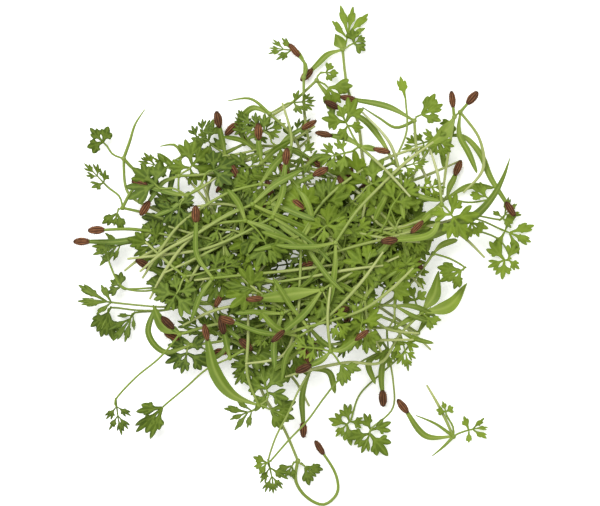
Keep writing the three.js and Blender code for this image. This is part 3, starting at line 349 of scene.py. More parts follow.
        [SeedLeaf([[31.6, 28.2]], JOINED, THIN), SeedLeaf([[30.2, 22.4], [32.2, 18.6], [33.6, 15]])],
        [Leaf(WEDGE, [[29.4, 25.6]], [27.6, 23])]),
    # Upper right, inner husk
    Seedling([29.2, 25.8], [[28.5, 22.5], [28, 18.5], [27, 11]], [SeedLeaf([[29, 27.4]], JOINED, THIN),
        SeedLeaf([[28.4, 23.8], [26.4, 22], [23.5, 20.2]], form=BROAD)],
        [Leaf(FAN, [[27.4, 23.6], [25.6, 22]], [27.6, 18.2])]),
    # Top right, paired seed leaves
    Seedling([21.5, 25], [[21, 21.5], [23.5, 15], [26, 10.5]],
        [SeedLeaf([[19, 26.5], [16, 28], [13.5, 28.5], [11, 29]], OWN),
        SeedLeaf([[20, 24], [17.5, 23.9], [14, 26.4], [11.8, 27.8]], form=THIN)],
        [Leaf(WEDGE, [[22, 25.8]], [26.8, 27.8])]),
    # Top right, long curve
    Seedling([17.5, 17], [[9.5, 14], [4.5, 14.5], [-3, 17.5]],
        [SeedLeaf([[16, 19.5], [14.5, 22.5], [12.5, 25], [10, 26.5], [7.5, 27.5]], JOINED)],
        [Leaf(SINGLE, [[19.5, 20.5], [20.5, 24.5], [19.8, 29]], [19.2, 32.8]),
        Leaf(FERN, [[18.5, 16]], [24, 17.5])]),
    # Upper left, great husk
    Seedling([-22.5, 18.5], [[-18, 17.5], [-12.5, 19], [-7, 20]],
        [SeedLeaf([[-24, 16], [-25, 12]], OWN), SeedLeaf([[-23.6, 20.4], [-26.8, 20.2]], form=THIN)],
        [Leaf(FERN, [[-21.5, 20], [-20.5, 21]], [-17, 25]),
        Leaf(WEDGE, [[-24.4, 17.6], [-26.4, 15.6]], [-30.4, 12.2])]),
    # Top centre, two fans
    Seedling([-7.5, 17], [[-6, 12.5], [-4, 7], [0, 2.5]], [SeedLeaf([[-8, 19.5], [-8, 21]], OWN),
        SeedLeaf([[-5, 19.5], [-1.5, 21.5]])], [Leaf(FAN, [[-5.5, 16.5]], [-1.5, 16.5]),
        Leaf(FAN, [[-9, 16.5]], [-13, 15.5])]),
    # Centre left, two husks
    Seedling([-8, 7.5], [[-2, 9], [6.5, 10], [10.5, 14]], [SeedLeaf([[-10, 10.5], [-12, 14]], JOINED),
        SeedLeaf([[-11.5, 6.5], [-14, 6.5]], JOINED)],
        [Leaf(FERN, [[-8.5, 4.5], [-9.5, 3]], [-13, -5])]),
    # Centre right
    Seedling([9.5, 9.5], [[5, 2.5], [0, -3], [-8.5, -6.5]], [SeedLeaf([[8.5, 11.5]], JOINED, THIN),
        SeedLeaf([[13.5, 7.5], [18, 6.5]])], [Leaf(FAN, [[11.5, 11.5], [12.5, 12.5]], [18.5, 15.5]),
        Leaf(FERN, [[7.5, 8]], [2, 9])]),
    # Right, great seed leaf
    Seedling([15, 4], [[9.5, 5], [1, 4.5], [-6, -1], [-9.5, -6]],
        [SeedLeaf([[19, 3], [22.5, 3], [26.5, 4], [30, 6], [34, 7.5], [36.5, 11], [38.5, 14.5],
        [40, 18.5]], form=BROAD),
        SeedLeaf([[11.5, 2], [8.5, -0.5], [6, -3.5]])], [Leaf(FERN, [[16, 6.5], [17, 8.5]], [21, 14.5])]),
    # Centre, two husks
    Seedling([12.5, -5.5], [[8.5, -0.5], [4.5, 2.5], [1.5, 6]],
        [SeedLeaf([[13.5, -7.5], [13, -9.5]], JOINED),
        SeedLeaf([[10.5, -7.5], [9.5, -10.5]], JOINED)],
        [Leaf(FERN, [[15.5, -5], [17, -4.5]], [22.5, -1])]),
    # Centre, lower
    Seedling([8, -8.5], [[11.5, -5], [15.5, -1]], [SeedLeaf([[6, -10], [4.5, -10.5]], JOINED),
        SeedLeaf([[7, -12], [9, -16]])], [Leaf(FERN, [[5.5, -7], [4, -6.5]], [-3, -3.5]),
        Leaf(FAN, [[10, -10]], [14, -13])]),
    # Long stem down the middle
    Seedling([0, 2], [[-0.5, -9], [-3, -19], [-10.5, -21]],
        [SeedLeaf([[2, 7], [0, 11.5], [-2, 14]], JOINED),
        SeedLeaf([[-3.5, 5], [-5.5, 10.5]], JOINED)], [Leaf(FAN, [[3, 3.5], [4, 4.5]], [8.5, 7.5])]),
    # Left of centre
    Seedling([-22, -4.5], [[-26, -1], [-29.5, 2]], [SeedLeaf([[-20, -8.5], [-21.5, -11.5]])],
        [Leaf(FERN, [[-19, -4], [-17.5, -3.5]], [-11, -2]), Leaf(FAN, [[-23, -7]], [-25.5, -11])]),
    # Left, crossing stem
    Seedling([-10.5, 6], [[-16.5, 5.5], [-23.5, 2]], [SeedLeaf([[-6, 4.5], [-0.5, 1]]),
        SeedLeaf([[-11.5, 9], [-14, 12]])], [Leaf(FAN, [[-8, 4], [-7, 2.5]], [-5, -2])]),
    # Top, crossing stem
    Seedling([11, 20], [[15, 16.5], [20.5, 10.5]], [SeedLeaf([[13.5, 19.5]], JOINED),
        SeedLeaf([[8.5, 21.5], [6, 22]], JOINED)], [Leaf(FAN, [[9.5, 22.5], [9, 23.5]], [6.5, 28]),
        Leaf(FERN, [[9.5, 19]], [3, 17.5])]),
    # Right of centre, flat husk
    Seedling([26.5, 9], [[26, 14], [24.5, 19.5]], [SeedLeaf([[24.5, 7.5], [23, 6]], JOINED),
        SeedLeaf([[24.5, 3.5], [21, 2.5], [18.5, 2.5]], OWN)], [Leaf(FAN, [[28, 7.5]], [31.5, 3])]),
    # Lower centre, long strap
    Seedling([4, -7], [[8.5, -4.5], [13.5, -2]],
        [SeedLeaf([[0, -7.5], [-4, -8.5], [-7, -8.5]], JOINED, BROAD),
        SeedLeaf([[1.5, -10.5], [-3, -14.5]], JOINED)],
        [Leaf(FERN, [[5, -9], [5.5, -10.5]], [8.5, -16.5])]),
    # Lower middle
    Seedling([5.5, -18.5], [[5, -13], [5.5, -6.5]], [SeedLeaf([[8, -18], [10, -16.5]], JOINED),
        SeedLeaf([[4, -20], [2, -21]], JOINED)], [Leaf(WEDGE, [[7, -20.4]], [9.6, -23.8]),
        Leaf(FERN, [[3.5, -18]], [-1.5, -17.5])]),
]


@dataclass
class Draws:
    """Even draws, the same ones for the same seed, which is their first state."""

    state: int

    def one(self) -> float:
        """The next draw, from 0 to 1."""
        self.state = (self.state * DRAW_FACTOR + DRAW_STEP) % DRAW_RANGE
        return self.state / DRAW_RANGE

    def between(self, low: float, high: float) -> float:
        """The next draw, from low to high."""
        return low + (high - low) * self.one()

    def whole(self, count: int) -> int:
        """The next draw as a whole number below a count."""
        return int(self.one() * count)


class HeightField:
    """The height of the heap's top over a square grid."""

    def __init__(self) -> None:
        """Starts with the bare surface."""
        self.side = math.ceil(2 * HALF_SPAN / CELL)
        self.tops = np.zeros((self.side, self.side))

    def copy(self) -> "HeightField":
        """The same heap, to lay other things on."""
        twin = HeightField()
        twin.tops = self.tops.copy()
        return twin

    def cell_of(self, value: float) -> int:
        """The row or column over which a coordinate lies."""
        return min(self.side - 1, max(0, math.floor((value + HALF_SPAN) / CELL)))

    def window(self, corners: Array, reach: float) -> tuple:
        """The cells in a box round some corners.

        Args:
            corners: places in plan, one a row.
            reach: how far the box stands out from them.

        Returns:
            The window's rows and columns, and the x and y of each cell's middle.
        """
        low = corners[:, :2].min(axis=0) - reach
        high = corners[:, :2].max(axis=0) + reach
        columns = slice(self.cell_of(low[0]), self.cell_of(high[0]) + 1)
        rows = slice(self.cell_of(low[1]), self.cell_of(high[1]) + 1)
        x = (np.arange(columns.start, columns.stop) + 0.5) * CELL - HALF_SPAN
        y = (np.arange(rows.start, rows.stop) + 0.5) * CELL - HALF_SPAN
        return (rows, columns), *np.meshgrid(x, y)

    def under_line(self, a: Array, b: Array, reach: float) -> tuple:
        """The cells within reach of a line in plan.

        Args:
            a: the line's start.
            b: its end.
            reach: half the width of the strip.

        Returns:
            The window, which of its cells lie in the strip, and how far along the line each one lies.
        """
        window, x, y = self.window(np.array([a[:2], b[:2]]), reach)
        dx, dy = b[0] - a[0], b[1] - a[1]
        squared = dx * dx + dy * dy
        share = np.zeros_like(x)
        if squared > 0:
            share = np.clip(((x - a[0]) * dx + (y - a[1]) * dy) / squared, 0, 1)
        gap = np.hypot(a[0] + dx * share - x, a[1] + dy * share - y)
        return window, gap <= reach, share

    def under_triangle(self, corners: Array) -> tuple:
        """The cells under a triangle.

        Args:
            corners: its three corners, one a row.

        Returns:
            The window, which of its cells lie under the triangle, the triangle's height over each one, and
            how much that height changes across a cell.
        """
        a, b, c = corners
        area = (b[0] - a[0]) * (c[1] - a[1]) - (c[0] - a[0]) * (b[1] - a[1])
        slope_x = ((b[2] - a[2]) * (c[1] - a[1]) - (c[2] - a[2]) * (b[1] - a[1])) / area
        slope_y = ((c[2] - a[2]) * (b[0] - a[0]) - (b[2] - a[2]) * (c[0] - a[0])) / area
        window, x, y = self.window(corners, CELL_REACH)
        inside = np.ones_like(x, dtype=bool)
        for start, end in ((a, b), (b, c), (c, a)):
            across = (end[0] - start[0]) * (y - start[1]) - (end[1] - start[1]) * (x - start[0])
            length = math.hypot(end[0] - start[0], end[1] - start[1])
            inside &= np.sign(area) * across / length >= -CELL_REACH
        height = a[2] + slope_x * (x - a[0]) + slope_y * (y - a[1])
        return window, inside, height, CELL_REACH * math.hypot(slope_x, slope_y)

    def floor(self, window: tuple) -> Array:
        """The height that the underside of something over these cells keeps to."""
        tops = self.tops[window]
        return np.where(tops > 0, tops + CLEARANCE, 0)

    def floor_under_line(self, a: Array, b: Array, reach: float) -> float:
        """The height that the underside of a strand over this line keeps to."""
        window, inside, _ = self.under_line(a, b, reach)
        return float(self.floor(window)[inside].max(initial=0))

    def cover(self, reach: float, depth: float) -> Array:
        """The heap's top drawn over its gaps like a cloth, less a depth.

        Args:
            reach: how far round each cell its highest neighbour is looked for.
            depth: how far below that the result lies.

        Returns:
            The height at each cell.
        """
        spread = self.tops
        for axis in (0, 1):
            steps = range(-round(reach / CELL), round(reach / CELL) + 1)
            spread = np.max([np.roll(spread, step, axis=axis) for step in steps], axis=0)
        return spread - depth

    def raise_to(self, window: tuple, inside: Array, heights: Array) -> None:
        """Raises the heap's top to these heights where it is lower."""
        tops = self.tops[window]
        tops[inside] = np.maximum(tops, heights)[inside]


def smooth_points(points: Array, times: Array) -> Array:
    """Points on the smooth curve through some points, carried on straight at its ends.

    Args:
        points: the points that it passes through, one a row.
        times: where to read it, from 0 at the first point, in whole steps from point to point.

    Returns:
        The curve's points, one a row.
    """
    ends = np.vstack([2 * points[0] - points[1], points, 2 * points[-1] - points[-2]])
    index = np.clip(np.floor(times).astype(int), 0, len(points) - 2)
    t = (times - index)[:, None]
    p0, p1, p2, p3 = (ends[index + k] for k in range(4))
    start, end = (p2 - p0) / 2, (p3 - p1) / 2
    return p1 + t * (start + t * (-3 * p1 + 3 * p2 - 2 * start - end + t * (2 * p1 - 2 * p2 + start + end)))


def spaced_points(points: Array, step: float) -> Array:
    """Points on the smooth curve through some points, evenly spaced and about one step apart."""
    times = np.linspace(0, len(points) - 1, ARC_DIVISIONS + 1)
    fine = smooth_points(points, times)
    lengths = np.concatenate([[0], np.cumsum(np.linalg.norm(np.diff(fine, axis=0), axis=1))])
    count = max(FEWEST_STEPS, math.floor(lengths[-1] / step + 0.5))
    targets = np.linspace(0, lengths[-1], count + 1)
    return smooth_points(points, np.interp(targets, lengths, times))


@dataclass
class Strand:
    """A strand's stations: their places in plan, half sizes and heights. The last two may be a husk's."""

    form: StrandForm
    places: Array
    half_width: Array
    half_height: Array
    husk: Husk = BARE
    rise: float = 0.0
    z: Array = field(default_factory=lambda: np.zeros(0))

    @classmethod
    def planned(cls, crown: list, path: list, form: StrandForm) -> "Strand":
        """A strand in plan, without a husk."""
        places = spaced_points(np.array([crown, *path], dtype=float), form.step)
        share = np.linspace(0, 1, len(places))
        half_width = form.width / 2 * form.taper(share) * np.ones(len(places))
        return cls(form, places, half_width, np.full(len(places), form.height / 2))

    @property
    def own_count(self) -> int:
        """How many stations the strand has without those of its husk."""
        return len(self.places) - (0 if self.husk is BARE else 2)

    @property
    def along(self) -> Array:
        """The way along the strand to each station."""
        return np.concatenate([[0], np.cumsum(np.linalg.norm(np.diff(self.places, axis=0), axis=1))])

    @property
    def points(self) -> Array:
        """The stations' middles in space."""
        return np.column_stack([self.places, self.z])

    def add_husk(self, husk: Husk) -> None:
        """Adds the husk's two ends, so that it is laid down with the leaf."""
        last, previous = self.places[-1], self.places[-2]
        way = (last - previous) / np.linalg.norm(last - previous)
        start = HUSK_GAP if husk is OWN else 0
        self.places = np.vstack([self.places, last + way * start, last + way * (start + HUSK_LENGTH)])
        self.half_width = np.append(self.half_width, [HUSK_WIDTH / 2] * 2)
        self.half_height = np.append(self.half_height, [HUSK_THICKNESS / 2] * 2)
        self.husk = husk

    def heights_needed(self, heap: HeightField) -> Array:
        """The lowest height of each station's middle that clears what lies below."""
        needed = self.half_height.copy()
        for i in range(len(self.places) - 1):
            reach = max(self.half_width[i], self.half_width[i + 1]) + CELL_REACH
            floor = heap.floor_under_line(self.places[i], self.places[i + 1], reach)
            needed[i:i + 2] = np.maximum(needed[i:i + 2], floor + self.half_height[i:i + 2])
        return needed

    def drape(self, needed: Array) -> Array:
        """Heights that clear the needed ones and bend no more sharply than the strand can."""
        along = self.along
        arches = needed[None, :] - (along[:, None] - along[None, :]) ** 2 / (2 * self.form.bend)
        heights = arches.max(axis=1)
        for _ in range(SMOOTHING_PASSES):
            for i in range(1, len(heights) - 1):
                heights[i] = max(needed[i], (heights[i - 1] + 2 * heights[i] + heights[i + 1]) / 4)
        return heights


@dataclass
class Blade:
    """A true leaf's blade: its base and heading in plan, its slopes and its solid's corners and triangles."""

    stalk: Strand
    form: LeafForm
    flat: bool
    base: Array
    heading: float
    span: float
    pitch: float
    roll: float
    drop: float
    corners: Array = field(default_factory=lambda: np.zeros((0, 3)))
    triangles: list = field(default_factory=list)
    base_height: float = 0.0

    @classmethod
    def planned(cls, stalk: Strand, entry: Leaf, draws: Draws) -> "Blade":
        """A blade in plan at the end of its stalk, its base at height 0."""
        base = stalk.places[-1]
        way = np.array(entry.tip, dtype=float) - base
        blade = cls(
            stalk, entry.form, entry.flat, base, math.atan2(way[1], way[0]), float(np.linalg.norm(way)),
            draws.between(*PITCH), draws.between(*ROLL), draws.between(*DROP),
        )
        outline, blade.triangles = solid_outline(entry.form, blade.span)
        blade.corners = blade.place(outline)
        return blade

    def heights(self, uv: Array) -> Array:
        """The blade's height over its base at places given along and across its rib."""
        u, v = uv[:, 0], uv[:, 1]
        if self.flat:
            return np.full(len(uv), (BLADE_THICKNESS - STALK.height) / 2)
        return self.pitch * u + self.roll * v - self.drop * (u * u + v * v) / self.span

    def place(self, uv: Array) -> Array:
        """Points in space for places given along and across the rib."""
        turn = np.array([[math.cos(self.heading), math.sin(self.heading)],
                         [-math.sin(self.heading), math.cos(self.heading)]])
        return np.column_stack([self.base + uv @ turn, self.base_height + self.heights(uv)])

    def base_height_needed(self, heap: HeightField) -> float:
        """The lowest height of the base that keeps all of the blade clear of what lies below it."""
        needed = 0.0
        for triangle in self.triangles:
            window, inside, height, margin = heap.under_triangle(self.corners[triangle])
            clear = heap.floor(window) + BLADE_THICKNESS / 2 + margin - height
            needed = max(needed, float(clear[inside].max(initial=0)))
        return needed


def solid_outline(form: LeafForm, span: float) -> tuple:
    """A blade's outline as its solid has it, clockwise from its base, and the triangles that fill it.

    Args:
        form: the leaf's form.
        span: the blade's length.

    Returns:
        The corners as places along and across the rib, and the triangles as numbers of corners.
    """
    rib = RIB_WIDTH / 2
    corners = [(0.0, rib)]
    rows = [0]
    roots = []

    def add_rib_corner(u: float) -> None:
        """Adds a corner on the rib's edge, past the last one."""
        if u > corners[-1][0]:
            corners.append((u, rib))
            rows.append(len(corners) - 1)

    def add_leaflet(u: float, v: float, degrees: float, length: float) -> None:
        """Adds the corners of a leaflet with its root at a place on the rib's edge."""
        angle = math.radians(degrees)
        roots.append(len(corners) - 1)
        for along, across in LEAFLET:
            out, side = along * length, across * form.slim * length
            corners.append((u + out * math.cos(angle) - side * math.sin(angle),
                            v + out * math.sin(angle) + side * math.cos(angle)))

    for at, degrees, share in form.pairs:
        add_rib_corner(at * span)
        start = corners[-1][0]
        add_leaflet(start + LEAFLET_ROOT / 2, rib, degrees, share * span)
        corners.append((start + LEAFLET_ROOT, rib))
        rows.append(len(corners) - 1)
    add_rib_corner((1 - form.end) * span)
    side_count = len(corners)
    add_leaflet(corners[-1][0], 0.0, 0.0, span - corners[-1][0])
    corners.extend((u, -v) for u, v in corners[side_count - 1::-1])
    last = len(corners) - 1
    triangles = []
    for root in roots:
        own = [[root, root + 1, root + 2], [root, root + 2, root + 4], [root + 2, root + 3, root + 4],
               [root, root + 4, root + 6], [root + 4, root + 5, root + 6]]
        triangles.extend(own)
        if root != side_count - 1:
            triangles.extend([last - c, last - b, last - a] for a, b, c in own)
    for low, high in zip(rows, rows[1:]):
        triangles.extend([[low, high, last - high], [low, last - high, last - low]])
    return np.array(corners), triangles


@dataclass
class LaidSeedling:
    """A seedling with its heights: its crown's middle, its strands with the stem first, and its blades."""

    crown: Array
    stem: Strand
    seed_leaves: list[Strand]
    blades: list[Blade]

    @classmethod
    def laid(cls, heap: HeightField, entry: Seedling, draws: Draws) -> "LaidSeedling":
        """Lays a seedling on top of a heap, whose height it raises.

        Args:
            heap: what it is laid on.
            entry: its places in plan.
            draws: the draws for its slopes.

        Returns:
            The seedling with its heights.
        """
        stem = Strand.planned(entry.crown, entry.stem, STEM)
        seed_leaves = []
        for item in entry.seed_leaves:
            strand = Strand.planned(entry.crown, item.path, item.form)
            strand.rise = draws.between(*RISE)
            if item.husk is not BARE:
                strand.add_husk(item.husk)
            seed_leaves.append(strand)
        blades = [Blade.planned(Strand.planned(entry.crown, item.path, STALK), item, draws)
                  for item in entry.leaves]
        strands = [(stem, None), *((s, None) for s in seed_leaves), *((b.stalk, b) for b in blades)]
        for strand, blade in strands:
            needed = strand.heights_needed(heap)
            reach = CROWN_WIDTH / 2 + CELL_REACH
            crown_floor = heap.floor_under_line(strand.places[0], strand.places[0], reach)
            needed[0] = max(needed[0], crown_floor + CROWN_HEIGHT / 2)
            if blade:
                needed[-1] = max(needed[-1], blade.base_height_needed(heap))
            along = strand.along
            strand.z = strand.drape(needed) + strand.rise * (along / along[-1]) ** 2
        top = max(strand.z[0] for strand, _ in strands)
        for strand, blade in strands:
            flat = blade is not None and blade.flat
            reach = strand.along[strand.own_count - 1] if flat else CROWN_REACH
            share = np.minimum(1, strand.along / reach)
            strand.z = strand.z + (top - strand.z[0]) * (1 - share) ** 2 * (1 + 2 * share)
        for blade in blades:
            blade.base_height = blade.stalk.z[-1]
            blade.corners[:, 2] += blade.base_height
        seedling = cls(np.array([*entry.crown, top]), stem, seed_leaves, blades)
        seedling.raise_heap(heap)
        return seedling

    @property
    def strands(self) -> list[Strand]:
        """The stem, the seed leaves and the stalks."""
        return [self.stem, *self.seed_leaves, *(blade.stalk for blade in self.blades)]

    @property
    def points(self) -> Array:
        """The stations of its strands and the corners of its blades."""
        stations = [strand.points for strand in self.strands]
        return np.vstack([*stations, *(blade.corners for blade in self.blades)])

    def height_over(self, heap: HeightField, cover: Array) -> float:
        """How far its highest point stands over a cover of the heap."""
        points = self.points
        rows = [heap.cell_of(y) for y in points[:, 1]]
        columns = [heap.cell_of(x) for x in points[:, 0]]
        return float((points[:, 2] - cover[rows, columns]).max())

    def raise_heap(self, heap: HeightField) -> None:
        """Raises a heap's top to this seedling's."""
        reach = CROWN_WIDTH / 2 + CELL_REACH
        window, inside, _ = heap.under_line(self.crown, self.crown, reach)
        heap.raise_to(window, inside, np.full(inside.shape, self.crown[2] + CROWN_HEIGHT / 2))
        for strand in self.strands:
            tops = strand.z + strand.half_height
            for i in range(len(tops) - 1):
                reach = max(strand.half_width[i], strand.half_width[i + 1]) + CELL_REACH
                window, inside, share = heap.under_line(strand.places[i], strand.places[i + 1], reach)
                heap.raise_to(window, inside, tops[i] + (tops[i + 1] - tops[i]) * share)
        for blade in self.blades:
            for triangle in blade.triangles:
                window, inside, height, margin = heap.under_triangle(blade.corners[triangle])
                heap.raise_to(window, inside, height + BLADE_THICKNESS / 2 + margin)


@dataclass
class Draft:
    """The corners, triangles and named values of one mesh that is being made."""

    points: list = field(default_factory=list)
    triangles: list = field(default_factory=list)
    finishes: list = field(default_factory=list)
    values: list = field(default_factory=list)
    count: int = 0

    def add(self, points: Array, triangles: Array, finish: int, **values: Array) -> None:
        """Adds a loose part.

        Args:
            points: its corners in millimetres, one a row.
            triangles: its triangles as numbers of its corners, one a row.
            finish: the number of its material.
            values: its ALONG, TONE and VEIN values, one for each corner or one for all.
        """
        self.points.append(points)
        self.triangles.append(np.asarray(triangles) + self.count)
        self.finishes.append(np.full(len(triangles), finish))
        columns = [np.broadcast_to(values.get(name, 0.0), len(points)) for name in VALUE_NAMES]
        self.values.append(np.column_stack(columns))
        self.count += len(points)

    def build(self, name: str, materials: list[Material]) -> Object:
        """Makes the mesh and its object, in metres and in the frame's place.

        Args:
            name: the object's name.
            materials: its materials, in the order of the finish numbers.

        Returns:
            The object, linked to the scene.
        """
        points = np.vstack(self.points)
        points[:, :2] -= PLAN_CENTRE
        triangles = np.vstack(self.triangles).astype(np.int32)
        mesh = bpy.data.meshes.new(name)
        mesh.vertices.add(len(points))
        mesh.vertices.foreach_set("co", (points * MM).astype(np.float32).ravel())
        mesh.loops.add(triangles.size)
        mesh.loops.foreach_set("vertex_index", triangles.ravel())
        mesh.polygons.add(len(triangles))
        mesh.polygons.foreach_set("loop_start", np.arange(0, triangles.size, 3, dtype=np.int32))
        mesh.polygons.foreach_set("material_index", np.concatenate(self.finishes).astype(np.int32))
        mesh.update(calc_edges=True)
        mesh.shade_smooth()
        mesh.set_sharp_from_angle(angle=SHARP_FROM)
        table = np.vstack(self.values).astype(np.float32)
        for column, value_name in enumerate(VALUE_NAMES):
            attribute = mesh.attributes.new(value_name, "FLOAT", "POINT")
            attribute.data.foreach_set("value", np.ascontiguousarray(table[:, column]))
        for material in materials:
            mesh.materials.append(material)
        mesh.validate()
        made = bpy.data.objects.new(name, mesh)
        bpy.context.scene.collection.objects.link(made)
        return made


def closed_tube(rings: Array, start: Array, end: Array) -> tuple:
    """A tube through rings of corners, closed by a fan of triangles at either end.

    Args:
        rings: the rings' corners, by ring and corner, anticlockwise round the tube's way.
        start: the single corner before the first ring.
        end: the single corner after the last ring.

    Returns:
        The corners, ring by ring and then the two ends, and the triangles, which face out.
    """
    rows, sides = rings.shape[:2]
    last = rows * sides
    a = np.arange(last - sides)
    b = a - a % sides + (a + 1) % sides
    ring = np.arange(sides)
    after = (ring + 1) % sides
    triangles = np.vstack([
        np.column_stack([a, b, b + sides]),
        np.column_stack([a, b + sides, a + sides]),
        np.column_stack([after, ring, np.full(sides, last)]),
        np.column_stack([ring + last - sides, after + last - sides, np.full(sides, last + 1)]),
    ])
    return np.vstack([rings.reshape(-1, 3), start[None], end[None]]), triangles


def lit_tone(place: Array, draws: Draws) -> float:
    """A green's tone: by chance, and fresher towards the right of the heap."""
    by_place = min(1, max(0, MIDDLE_TONE + place[0] / TONE_SPAN))
    return TONE_CHANCE * draws.one() + (1 - TONE_CHANCE) * by_place


def unit(vectors: Array) -> Array:
    """The vectors at a length of one, one a row."""
    return vectors / np.maximum(np.linalg.norm(vectors, axis=-1, keepdims=True), SMALLEST)


def frames(centre: Array, turn: Array) -> tuple:
    """The sideways and upward directions along a line that lies about level.

    Args:
        centre: the line's points, one a row.
        turn: how far the directions are turned about the line at each point, in radians.

    Returns:
        The sideways and the upward direction at each point.
    """
    way = unit(np.gradient(centre, axis=0))
    side = unit(np.column_stack([-way[:, 1], way[:, 0], np.zeros(len(way))]))
    up = np.cross(way, side)
    cos, sin = np.cos(turn)[:, None], np.sin(turn)[:, None]
    return side * cos + up * sin, up * cos - side * sin


@dataclass(frozen=True)
class StrapShape:
    """The real form of a seed leaf: its section, its outline and how freely it lies."""

    # The distance between its rings, and its thickness, which is less where it is narrow
    spacing: float = 0.55
    thickness: float = 0.24
    full_half_width: float = 0.45
    thinnest: float = 0.25

    # Its width over its solid's
    fullness: float = 0.64
    broad_fullness: float = 0.95
    pointed_fullness: float = 1.18

    # Its outline: its foot, the shares over which it opens and closes, its point and its neck in a husk
    stalk_width: float = 0.48
    open_by: float = 0.5
    tip_length: float = 0.4
    tip_point: float = 0.15
    point_length: float = 0.7
    point_power: float = 0.8
    husk_overlap: float = 0.9
    husk_neck: float = 0.62
    neck_power: float = 0.7

    # Its sway to the side, its twist, less in a husk, and its cupped edges
    sway: float = 0.12
    sway_starts: tuple = (0, 6)
    twist: tuple = (-0.5, 0.5)
    husk_steadiness: float = 0.4
    cup: tuple = (-0.05, 0.32)

    # Its section as [across, height] over the half width and half thickness
    section = np.array([
        [1, 0], [0.72, 0.62], [0.34, 0.9], [0, 0.3], [-0.34, 0.9],
        [-0.72, 0.62], [-1, 0], [-0.6, -0.7], [0, -1], [0.6, -0.7],
    ])
    groove_reach: float = 0.3

    def half_widths(self, share: Array, width: float, has_husk: bool, pointed: bool) -> Array:
        """Half the leaf's width along it.

        Args:
            share: the share of the leaf's length at each point.
            width: the leaf's greatest width.
            has_husk: whether its tip is drawn together in a husk.
            pointed: whether it narrows over most of its length to a point, as the broad ones do.

        Returns:
            Half the width at each point.
        """
        opening = np.clip(share / self.open_by, 0, 1)
        opening = opening * opening * (3 - 2 * opening)
        start = self.stalk_width / width
        body = start + (1 - start) * opening
        closing = np.clip((1 - share) / self.tip_length, 0, 1)
        if has_husk:
            neck = self.husk_neck / width
            return width / 2 * np.minimum(body, neck + (1 - neck) * closing ** self.neck_power)
        if pointed:
            return width / 2 * body * np.clip((1 - share) / self.point_length, 0, 1) ** self.point_power
        return width / 2 * body * np.sqrt(np.clip(closing * (2 - closing), 0, 1))

    def add_to(self, draft: Draft, strand: Strand, draws: Draws) -> None:
        """Adds a seed leaf with its groove, its cupped edges and its slight twist.

        Args:
            draft: the mesh that it goes into.
            strand: its stations.
            draws: the draws for its small differences.
        """
        points = strand.points[:strand.own_count]
        has_husk = strand.husk is not BARE
        if has_husk:
            inside = strand.points[-2] - strand.points[-1]
            points = np.vstack([points[:-1], strand.points[-2] - unit(inside) * self.husk_overlap])
        centre = evened(points, self.spacing)
        share = np.linspace(0, 1, len(centre))
        broad = strand.form is BROAD
        fullness = (self.broad_fullness if has_husk else self.pointed_fullness) if broad else self.fullness
        half = self.half_widths(share, strand.form.width * fullness, has_husk, broad and not has_husk)
        size = draws.between(-1, 1) * self.sway
        sway = size * np.sin(share * math.pi * 2 + draws.between(*self.sway_starts))
        turn = draws.between(*self.twist) * np.sin(share * math.pi) + draws.between(*self.twist) * share
        cup = draws.between(*self.cup)
        side, up = frames(centre, turn * (self.husk_steadiness if has_husk else 1))
        centre = centre + side * (sway * np.sin(share * math.pi))[:, None]
        thick = self.thickness / 2 * np.clip(half / self.full_half_width, self.thinnest, 1)
        across, height = self.section[:, 0], self.section[:, 1]
        lift = cup * half[:, None] * across[None, :] ** 2
        points = (centre[:, None, :] + side[:, None, :] * (half[:, None] * across[None, :])[:, :, None]
                  + up[:, None, :] * (thick[:, None] * height[None, :] + lift)[:, :, None])
        tip = centre[-1] + unit(centre[-1] - centre[-2]) * self.tip_point
        groove = np.maximum(0, 1 - np.abs(across) / self.groove_reach) * (height > 0)
        draft.add(*closed_tube(points, centre[0], tip), SEED_LEAF_FINISH,
                  along=np.append(np.repeat(share, len(across)), [0, 1]),
                  tone=lit_tone(strand.places[0], draws),
                  vein=np.append(np.tile(groove, len(centre)), [0, 0]))


def evened(points: Array, spacing: float) -> Array:
    """Points on the smooth curve through some points in space, about one spacing apart."""
    fine = smooth_points(points, np.linspace(0, len(points) - 1, EVENED_DIVISIONS * len(points)))
    lengths = np.concatenate([[0], np.cumsum(np.linalg.norm(np.diff(fine, axis=0), axis=1))])
    count = max(FEWEST_RINGS, round(lengths[-1] / spacing))
    targets = np.linspace(0, lengths[-1], count + 1)
    return np.column_stack([np.interp(targets, lengths, fine[:, axis]) for axis in range(3)])


